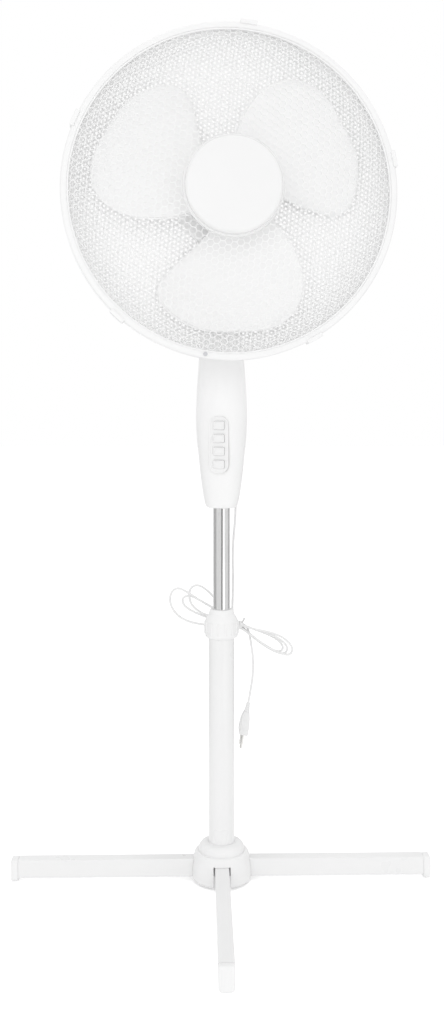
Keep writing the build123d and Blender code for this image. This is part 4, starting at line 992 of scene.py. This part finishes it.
# %% Opening for the buttons
PANEL_WIDTH = 25.0
PANEL_HEIGHT = 74.1
PANEL_MIDDLE = 570.5
PANEL_FRONT = -29.3
PANEL_THICK = 3.2
PANEL_CORNER = 11.5
PANEL_GAP = 0.15          # between the plate's edge and the casing
OPENING_BACK = -18.0      # the bottom of the opening, where the switch sits
CUTTER_FRONT = -60.0      # well ahead of the casing


def slab(name, size, front, back, middle, corner):
    """A block of some width and height that lies across the casing's front, with round corners."""
    width, height = size
    piece = block(name, (width, back - front, height), (0, (front + back) / 2, middle))
    bevel_edges(piece, corner, lambda start, end: abs(start.y - end.y) > MM)
    return piece


opening_size = (PANEL_WIDTH + 2 * PANEL_GAP, PANEL_HEIGHT + 2 * PANEL_GAP)
cut(casing, slab("opening", opening_size, CUTTER_FRONT, OPENING_BACK, PANEL_MIDDLE, PANEL_CORNER))
print("casing with its opening:", len(casing.data.polygons), "faces")

# %% Casing halves
SEAM = 0.12               # each half stands back from the seam plane


def casing_half(name, side):
    """The half of the casing in front of (-1) or behind (1) the seam plane, with a softened seam edge."""
    half = twin(casing, name, ROOM_FRAME)
    select(half)
    bpy.ops.object.mode_set(mode="EDIT")
    bpy.ops.mesh.select_all(action="SELECT")
    bpy.ops.mesh.bisect(
        plane_co=(0, side * SEAM * MM, 0), plane_no=(0, -side, 0), clear_outer=True, use_fill=True
    )
    close_skin()
    round_edges(half, 0.45, segments=2, sharper_than=70)
    return half


casing_front = casing_half("casing_front_skin", -1)
casing_rear = casing_half("casing_rear_skin", 1)
bpy.data.objects.remove(casing)
print("casing halves:", casing_front.name, "and", casing_rear.name)

# %% Screw wells
WELL_SIDE = 18.0          # from the middle of the casing
WELL_HEIGHTS = (640.0, 700.0)
WELL_RADIUS = 3.2
WELL_BOTTOM = 7.125       # where the screw heads sit
WELL_OPEN = 40.0          # well behind the casing
for side in (-1, 1):
    for height in WELL_HEIGHTS:
        cut(casing_rear, bar(WELL_RADIUS, WELL_BOTTOM, WELL_OPEN, side * WELL_SIDE, height, sides=40))
round_edges(casing_rear, 0.3, segments=2, sharper_than=50)
print("casing rear with its screw wells:", len(casing_rear.data.polygons), "faces")
place_piece(casing_front, CASE_FRAME, "column", casing_abs_painted_light, ["casing_front"], smooth=30)
place_piece(casing_rear, CASE_FRAME, "column", casing_abs_painted_light, ["casing_rear"], smooth=30)


# %% [markdown]
# ## Buttons
# Four push buttons stand in a long plate with round ends on the front of the casing. The plate is a block
# with round corners and a raised border, cut through where the buttons pass. Each button is a small block
# with a dished face, so that a finger finds it.

# %% Button plate
BUTTON_WIDTH = 15.0
BUTTON_HEIGHT = 11.0
BUTTON_PITCH = 16.7
BUTTON_GAP = 0.1
BUTTON_CORNER = 2.0
button_heights = [PANEL_MIDDLE + BUTTON_PITCH * (number - 1.5) for number in range(4)]
panel_size = (PANEL_WIDTH, PANEL_HEIGHT)
panel_back = PANEL_FRONT + PANEL_THICK
panel = slab("button_panel_skin", panel_size, PANEL_FRONT, panel_back, PANEL_MIDDLE, PANEL_CORNER)
pick_faces(panel, lambda spot, normal: normal.y < -0.9)
sink(border=1.6, slope=0.5, depth=0.6)
close_skin()
mouth_size = (BUTTON_WIDTH + 2 * BUTTON_GAP, BUTTON_HEIGHT + 2 * BUTTON_GAP)
for height in button_heights:
    cut(panel, slab("mouth", mouth_size, CUTTER_FRONT, OPENING_BACK, height, BUTTON_CORNER))
round_edges(panel, 0.4, segments=3, sharper_than=40)
place_piece(panel, CASE_FRAME, "column", satin_abs, ["button_panel"])

# %% Push buttons
BUTTON_FRONT = -33.8
BUTTON_BACK = -26.8
button_size = (BUTTON_WIDTH, BUTTON_BACK - BUTTON_FRONT, BUTTON_HEIGHT)
button = block("button", button_size, (0, (BUTTON_FRONT + BUTTON_BACK) / 2, 0))
round_edges(button, BUTTON_CORNER, segments=4, sharper_than=60)
pick_faces(button, lambda spot, normal: normal.y < -0.95)
sink(border=1.0, slope=1.2, depth=0.5)
close_skin()
apply_modifier(button, "SUBSURF", levels=2, render_levels=2)
for key, height in zip(("stop", "low", "medium", "high"), button_heights):
    cap = twin(button, "button_" + key + "_skin", Matrix.Translation((0, 0, height * MM)))
    place_piece(cap, CASE_FRAME, key + "_key", gloss_abs, ["button_" + key])
bpy.data.objects.remove(button)


# %% [markdown]
# ## Collar, cover and feet
# The collar is a threaded nut with grip ribs that clamps the chrome tube. The base cover is a small dome in
# two tiers, with slots where it sits over the cross. Each tube of the cross ends in a cap, which is its foot.

# %% Collar nut
RIB_COUNT = 14
RIB_SIZE = (1.6, 2.4, 16)
RIB_OUT = 22.2
RIB_MIDDLE = 330.0
collar_profile = [(14.4, 348), (11.25, 348.6), (11.25, 353.2), (12, 354), (14.4, 354)]
collar_profile += arc((14.4, 354), (15.9, 351.4), (16.6, 348), 4)[1:]
collar_profile += arc((16.6, 348), (20, 342.8), (22, 338), 6)[1:]
collar_profile += [(22, 322), (21.4, 319), (19, 316.5), (17.4, 316.5), (17.4, 330), (14.4, 348)]
collar = turn("collar_nut_skin", collar_profile, 112)
round_edges(collar, 0.4, segments=2, sharper_than=40)
rib = block("grip_rib", RIB_SIZE, (RIB_OUT, 0, RIB_MIDDLE))
round_edges(rib, 0.7, segments=3, sharper_than=60)
collar = join([collar] + copies(rib, RIB_COUNT))
place_piece(collar, ROOM_FRAME, "collar", satin_abs, ["collar_nut"])

# %% Base cover
COVER_THICK = 2.0
COVER_ROOF = 1.6
COVER_HOLE = 17.2         # the pole passes through it
COVER_TOP = 49.3
COVER_SLOT = 22.0
COVER_SLOT_TOP = 28.8     # close on the cross tube: no gap shows above it in the photograph
SLOT_BELOW = 10.0         # the cutter starts this far under the floor
SLOT_LONG = 120.0
lower_tier = arc((39.5, 14), (37.9, 26.5), (35.6, 34.6), 8)
lower_tier += arc((35.6, 34.6), (33.9, 37), (30.8, 37.8), 6)[1:]
crown = arc((29.7, 38.2), (29, 44.3), (25.5, 47.9), 8)
crown += arc((25.5, 47.9), (21.8, 48.9), (COVER_HOLE, COVER_TOP), 4)[1:]
cover_inside = [(radius - COVER_THICK, height - COVER_ROOF) for radius, height in lower_tier + crown[:-1]]
cover_profile = [(37.5, 3), (38.9, 3), (39.5, 3.8)] + lower_tier + [(30, 37.4)] + crown
cover_profile += [(COVER_HOLE, COVER_TOP - COVER_ROOF)] + cover_inside[::-1]
cover_profile.append(cover_profile[0])
base_cover = turn("base_cover_skin", cover_profile, 128)
slot_height = COVER_SLOT_TOP + SLOT_BELOW
for width, depth in ((SLOT_LONG, COVER_SLOT), (COVER_SLOT, SLOT_LONG)):
    cut(base_cover, block("slot", (width, depth, slot_height), (0, 0, slot_height / 2 - SLOT_BELOW)))
round_edges(base_cover, 0.5, segments=2, sharper_than=50)
place_piece(base_cover, ROOM_FRAME, "base", satin_abs, ["base_cover"], smooth=30)

# %% End caps
TUBE_REACH = 265.0
CAP_LENGTH = 10.0
CAP_WIDTH = 18.0
CAP_TOP = 28.5
CAP_FOOT_ROUND = 5.0      # the two long edges it stands on
CAP_ROUND = 2.2
end_cap = block("end_cap", (CAP_LENGTH, CAP_WIDTH, CAP_TOP), (TUBE_REACH + CAP_LENGTH / 2, 0, CAP_TOP / 2))


def long_foot_edge(start, end):
    """An edge at the floor that runs along the tube."""
    return max(start.z, end.z) < MM and abs(start.x - end.x) > MM


bevel_edges(end_cap, CAP_FOOT_ROUND, long_foot_edge)
round_edges(end_cap, CAP_ROUND, segments=4, sharper_than=50)
pick_faces(end_cap, lambda spot, normal: normal.x > 0.999)
sink(border=0.8, slope=0.8, depth=0.3)
bpy.ops.object.mode_set(mode="OBJECT")
for number, side in enumerate(("right", "rear", "left", "front")):
    foot = twin(end_cap, "end_cap_" + side + "_skin", Matrix.Rotation(number * math.pi / 2, 4, "Z"))
    place_piece(foot, ROOM_FRAME, "base", satin_abs, ["end_cap_" + side])
bpy.data.objects.remove(end_cap)

# %% [markdown]
# ## Tubes
# The pole and the chrome tube are plain drawn tubes. Their solids are already right in size, but a mirror
# finish shows every flat of a coarse mesh, so both are turned again with many steps and slightly broken ends.

# %% Pole and inner tube
def tube(name, inner, outer, low, high, broken):
    """A drawn tube between two heights, with the outer edges of its ends broken."""
    profile = [
        (inner, low), (outer - broken, low), (outer, low + broken), (outer, high - broken),
        (outer - broken, high), (inner, high), (inner, low),
    ]
    return turn(name, profile)


pole = tube("pole_skin", 15.6, 17.1, 31.5, 322, 0.3)
place_piece(pole, ROOM_FRAME, "base", enamel, ["pole"])
inner_tube = tube("inner_tube_skin", 9.8, 11, 145, 750, 0.2)
place_piece(inner_tube, ROOM_FRAME, "column", chrome, ["inner_tube"])

# %% [markdown]
# ## Motor cover and knob
# Behind the guard the motor hides under a cover that narrows to the back, with a ring of cooling slots.
# Spinning an open profile gives one skin. Deleting every third face of a few rows opens the slots, Solidify
# gives the wall, and a Boolean cuts the round doors for the neck and for the knob that starts the sweep.

# %% Motor cover
MOTOR_COVER_STEPS = 96
MOTOR_COVER_WALL = 2.2
SLOT_BACK = -52.0
SLOT_FRONT = -14.0
SLOT_EVERY = 3            # one face in three is open
KNOB_AHEAD = -24.0
KNOB_HOLE = 4.2
KNOB_HOLE_SPAN = (30.0, 70.0)   # up through the top of the cover
KNOB_CLEAR = 13           # degrees to each side of the knob without slots
DOOR_RADIUS = 23.0        # the neck's door, in the underside
DOOR_SPAN = (-90.0, -23.0)
DOOR_CLEAR = 42
cover_side = [(54, 63.9), (54, 57.6), (53.3, 57.2), (53.3, 56.2), (54, 55.8), (54, 30)]
cover_taper = arc((54, 8), (48, -27), (30, -62), 16)
cover_back = [(24, -62.6), (9, -62.6), (8, -61.6), (2.2, -61.6)]
motor_cover = turn("motor_cover_skin", cover_side + cover_taper + cover_back, MOTOR_COVER_STEPS)


def step_at(spot, steps):
    """The number of the step round the Z axis in which a point lies."""
    return math.floor(math.atan2(spot.y, spot.x) / (2 * math.pi) * steps)


def in_slot(spot, normal):
    """Every third face of the tapered back, away from the knob and from the neck's door."""
    angle = math.degrees(math.atan2(spot.y, spot.x))
    clear = abs(angle - 90) > KNOB_CLEAR and abs(angle + 90) > DOOR_CLEAR
    open_step = step_at(spot, MOTOR_COVER_STEPS) % SLOT_EVERY == 0
    return SLOT_BACK < spot.z < SLOT_FRONT and open_step and clear


pick_faces(motor_cover, in_slot)
bpy.ops.mesh.delete(type="FACE")
bpy.ops.object.mode_set(mode="OBJECT")
apply_modifier(motor_cover, "SOLIDIFY", thickness=MOTOR_COVER_WALL * MM, offset=-1.0)
cut(motor_cover, bar(DOOR_RADIUS, *DOOR_SPAN, 0, 0))
cut(motor_cover, bar(KNOB_HOLE, *KNOB_HOLE_SPAN, 0, KNOB_AHEAD))
round_edges(motor_cover, 0.4, segments=2, sharper_than=55)
place_piece(motor_cover, HEAD_FRAME, "head", satin_abs, ["motor_cover"])

# %% Sweep knob
KNOB_STEPS = 48
KNOB_RADIUS = 7.0
GRIP_LOW = 62.9
GRIP_HIGH = 68.6
GROOVE_SLOPE = 0.12
GROOVE_DEPTH = 0.4
knob = turn(
    "clutch_knob_skin",
    [(0, 18), (3.5, 18), (3.5, 62.3), (6.4, 62.3), (KNOB_RADIUS, GRIP_LOW), (KNOB_RADIUS, GRIP_HIGH),
     (6.6, 69.6), (5.6, 70.2), (3, 70.3), (0, 70.3)],
    KNOB_STEPS,
)


def in_grip(spot, normal):
    """Every second face round the knob's rim."""
    on_rim = GRIP_LOW < spot.z < GRIP_HIGH and spot.xy.length > KNOB_RADIUS - 0.2
    return on_rim and step_at(spot, KNOB_STEPS) % 2 == 0


pick_faces(knob, in_grip)
bpy.ops.mesh.inset(thickness=GROOVE_SLOPE * MM, depth=-GROOVE_DEPTH * MM, use_individual=True)
bpy.ops.object.mode_set(mode="OBJECT")
knob_frame = HEAD_FRAME @ Matrix.Translation((0, 0, KNOB_AHEAD * MM)) @ Z_TO_Y
place_piece(knob, knob_frame, "knob", satin_abs, ["clutch_knob"])

# %% [markdown]
# ## Plug, gland and tie
# The plug is one soft moulding: a ribbed sleeve that keeps the cord from kinking, a flat body with a grip
# hollow on each side, and two round pins. The body is a plane, extruded and scaled a few times. The tie is a
# flat band round the waist of the hank, with its two ends twisted together: a straight strip and a Simple
# Deform modifier.

# %% Ribbed sleeves
RIB_RAISED = 0.4


def frame_along(start, way, side):
    """A frame at a point in millimetres, with Z along a direction and X as near to another as it can be."""
    z = way.normalized()
    x = (side - z * side.dot(z)).normalized()
    y = z.cross(x)
    axes = Matrix((x, y, z)).transposed().to_4x4()
    return Matrix.Translation(start * MM) @ axes


def ribbed_sleeve(name, first_radius, last_radius, length, ribs):
    """A round sleeve with flat ribs, from the origin along Z."""
    profile = [(0, 0), (first_radius, 0)]
    pitch = length / (ribs + 0.5)
    for number in range(ribs):
        low = pitch * (number + 0.4)
        radius = first_radius + (last_radius - first_radius) * low / length
        for share, raised in ((0, 0), (0.15, RIB_RAISED), (0.55, RIB_RAISED), (0.7, 0)):
            profile.append((radius + raised, low + share * pitch))
    return turn(name, profile + [(last_radius, length), (0, length)], 32)


gland = ribbed_sleeve("cord_gland_skin", 3.2, 2.2, GLAND_LENGTH, 5)
gland_frame = frame_along(GLAND_TIP - GLAND_WAY * GLAND_LENGTH, GLAND_WAY, Vector((1, 0, 0)))
place_piece(gland, gland_frame, "column", cord_pvc, ["cord_gland"])

# %% Plug
PLUG_NECK = 13.0
PLUG_GRIP = 30.0          # where the straight part with the grip hollows starts
PLUG_BRIM = 39.6          # and where it ends
PLUG_END = 41.0
PIN_PITCH = 18.6


def boxy(name, sections):
    """A box that changes its size along Z, from (width, thickness, height) sections."""
    deselect()
    width, thick, height = sections[0]
    bpy.ops.mesh.primitive_plane_add(size=MM, location=(0, 0, height * MM))
    piece = bpy.context.object
    piece.name = name
    piece.scale = (width, thick, 1)
    bpy.ops.object.transform_apply(location=True, rotation=True, scale=True)
    bpy.ops.object.mode_set(mode="EDIT")
    bpy.ops.mesh.select_all(action="SELECT")
    for (width, thick, height), (next_width, next_thick, next_height) in zip(sections, sections[1:]):
        rise = (next_height - height) * MM
        bpy.ops.mesh.extrude_region_move(TRANSFORM_OT_translate={"value": (0, 0, rise)})
        grow = (next_width / width, next_thick / thick, 1)
        bpy.ops.transform.resize(value=grow, center_override=(0, 0, next_height * MM))
    close_skin()
    return piece


plug_frame = frame_along(route[-1], route[-1] - route[-2], Vector((0, 1, 0)))
plug_body = boxy(
    "plug_skin",
    [(10, 7.6, 12), (13, 8.6, 14.4), (21, 10.4, 19.5), (27, 11.6, 25), (30, 12, PLUG_GRIP),
     (30, 12, PLUG_BRIM), (29, 11.2, PLUG_END)],
)
pick_faces(plug_body, lambda spot, normal: abs(normal.y) > 0.95 and PLUG_GRIP < spot.z < PLUG_BRIM)
sink(border=2.2, slope=0.8, depth=0.7, each=True)
bpy.ops.object.mode_set(mode="OBJECT")
round_edges(plug_body, 1.6, segments=4, sharper_than=40)
plug = join([plug_body, ribbed_sleeve("plug_sleeve", 2.2, 3.6, PLUG_NECK, 4)])
place_piece(plug, plug_frame, "column", cord_pvc, ["plug"])

pin = turn("plug_pins_skin", [(0, 33), (2, 33), (2, 58.4), (1.7, 59.3), (1, 59.9), (0, 60)], 32)
pin.data.transform(Matrix.Translation((PIN_PITCH / 2 * MM, 0, 0)))
pins = join(copies(pin, 2))
place_piece(pins, plug_frame, "column", nickel, ["plug_pins"])

# %% Twist tie
TIE_HALF = 2.5
TIE_DEEP = 7.9            # half of the bundle, front to back
TIE_HIGH = 4.0
TIE_SQUARE = 5            # 2 would be an ellipse, more is squarer
BAND_RADIUS = 10.0        # the band before it is pressed onto the bundle
BAND_EDGE = 10.8
STRIP_WIDTH = 2.6
STRIP_THICK = 1.0
STRIP_STEPS = 20
STRIP_STEP = 0.4
STRIP_TWIST = 4 * math.pi
STRIP_SPOT = Vector((-4.0, TIE_HIGH, 0))
band = turn(
    "twist_tie_skin",
    [(BAND_RADIUS, -TIE_HALF), (10.6, -TIE_HALF), (BAND_EDGE, 0.3 - TIE_HALF), (BAND_EDGE, TIE_HALF - 0.3),
     (10.6, TIE_HALF), (BAND_RADIUS, TIE_HALF), (BAND_RADIUS, -TIE_HALF)],
    72,
)
flat = 2 / TIE_SQUARE
steep = TIE_SQUARE - 1
for vertex in band.data.vertices:
    x, y, z = vertex.co / MM
    angle = math.atan2(y, x)
    deep, high = (math.copysign(abs(part) ** flat, part) for part in (math.cos(angle), math.sin(angle)))
    out = Vector((
        math.copysign(abs(deep) ** steep / TIE_DEEP, deep),
        math.copysign(abs(high) ** steep / TIE_HIGH, high),
        0,
    )).normalized()
    spot = Vector((deep * TIE_DEEP, high * TIE_HIGH, z))
    vertex.co = (spot + out * (math.hypot(x, y) - BAND_RADIUS)) * MM
ends = boxy("tie_ends", [(STRIP_WIDTH, STRIP_THICK, step * STRIP_STEP) for step in range(STRIP_STEPS)])
apply_modifier(ends, "SIMPLE_DEFORM", deform_method="TWIST", deform_axis="Z", angle=STRIP_TWIST)
ends.data.transform(Matrix.Translation(STRIP_SPOT * MM) @ Z_TO_Y)
tie = join([band, ends])
tie_frame = frame_along(Vector((TIE_X, layer(1.5), TIE_Z)), ALONG, Vector((0, 1, 0)))
place_piece(tie, tie_frame, "column", cord_pvc, ["twist_tie"])

# %% [markdown]
# ## Dress the solids that stay
# The solids whose shape is already right keep it, and only take a finish. They come in as loose triangles
# with their own normals, so nothing about their mesh is touched.

# %% Finishes on the solids
slot_finish = {
    "enamel": enamel,
    "white_plastic": satin_abs,
    "gloss_plastic": gloss_abs,
    "inner_plastic": nylon,
    "chrome": chrome,
    "steel": zinc,
    "cast_aluminium": cast_aluminium,
    "motor_steel": stacked_sheet,
    "copper": winding_copper,
    "bronze": sintered_bronze,
    "cord_pvc": cord_pvc,
    "plug_metal": nickel,
}
node_slot = {part["node"]: part["material_slot"] for part in frame["record"]["subparts"]}
for name, solid in frame["nodes"].items():
    solid.data.materials.clear()
    solid.data.materials.append(slot_finish[node_slot[name]])
mains_cord.data.materials.append(cord_pvc)
print("dressed:", len(node_slot), "solids")

# %% View transform
bpy.context.scene.view_settings.view_transform = "Standard"
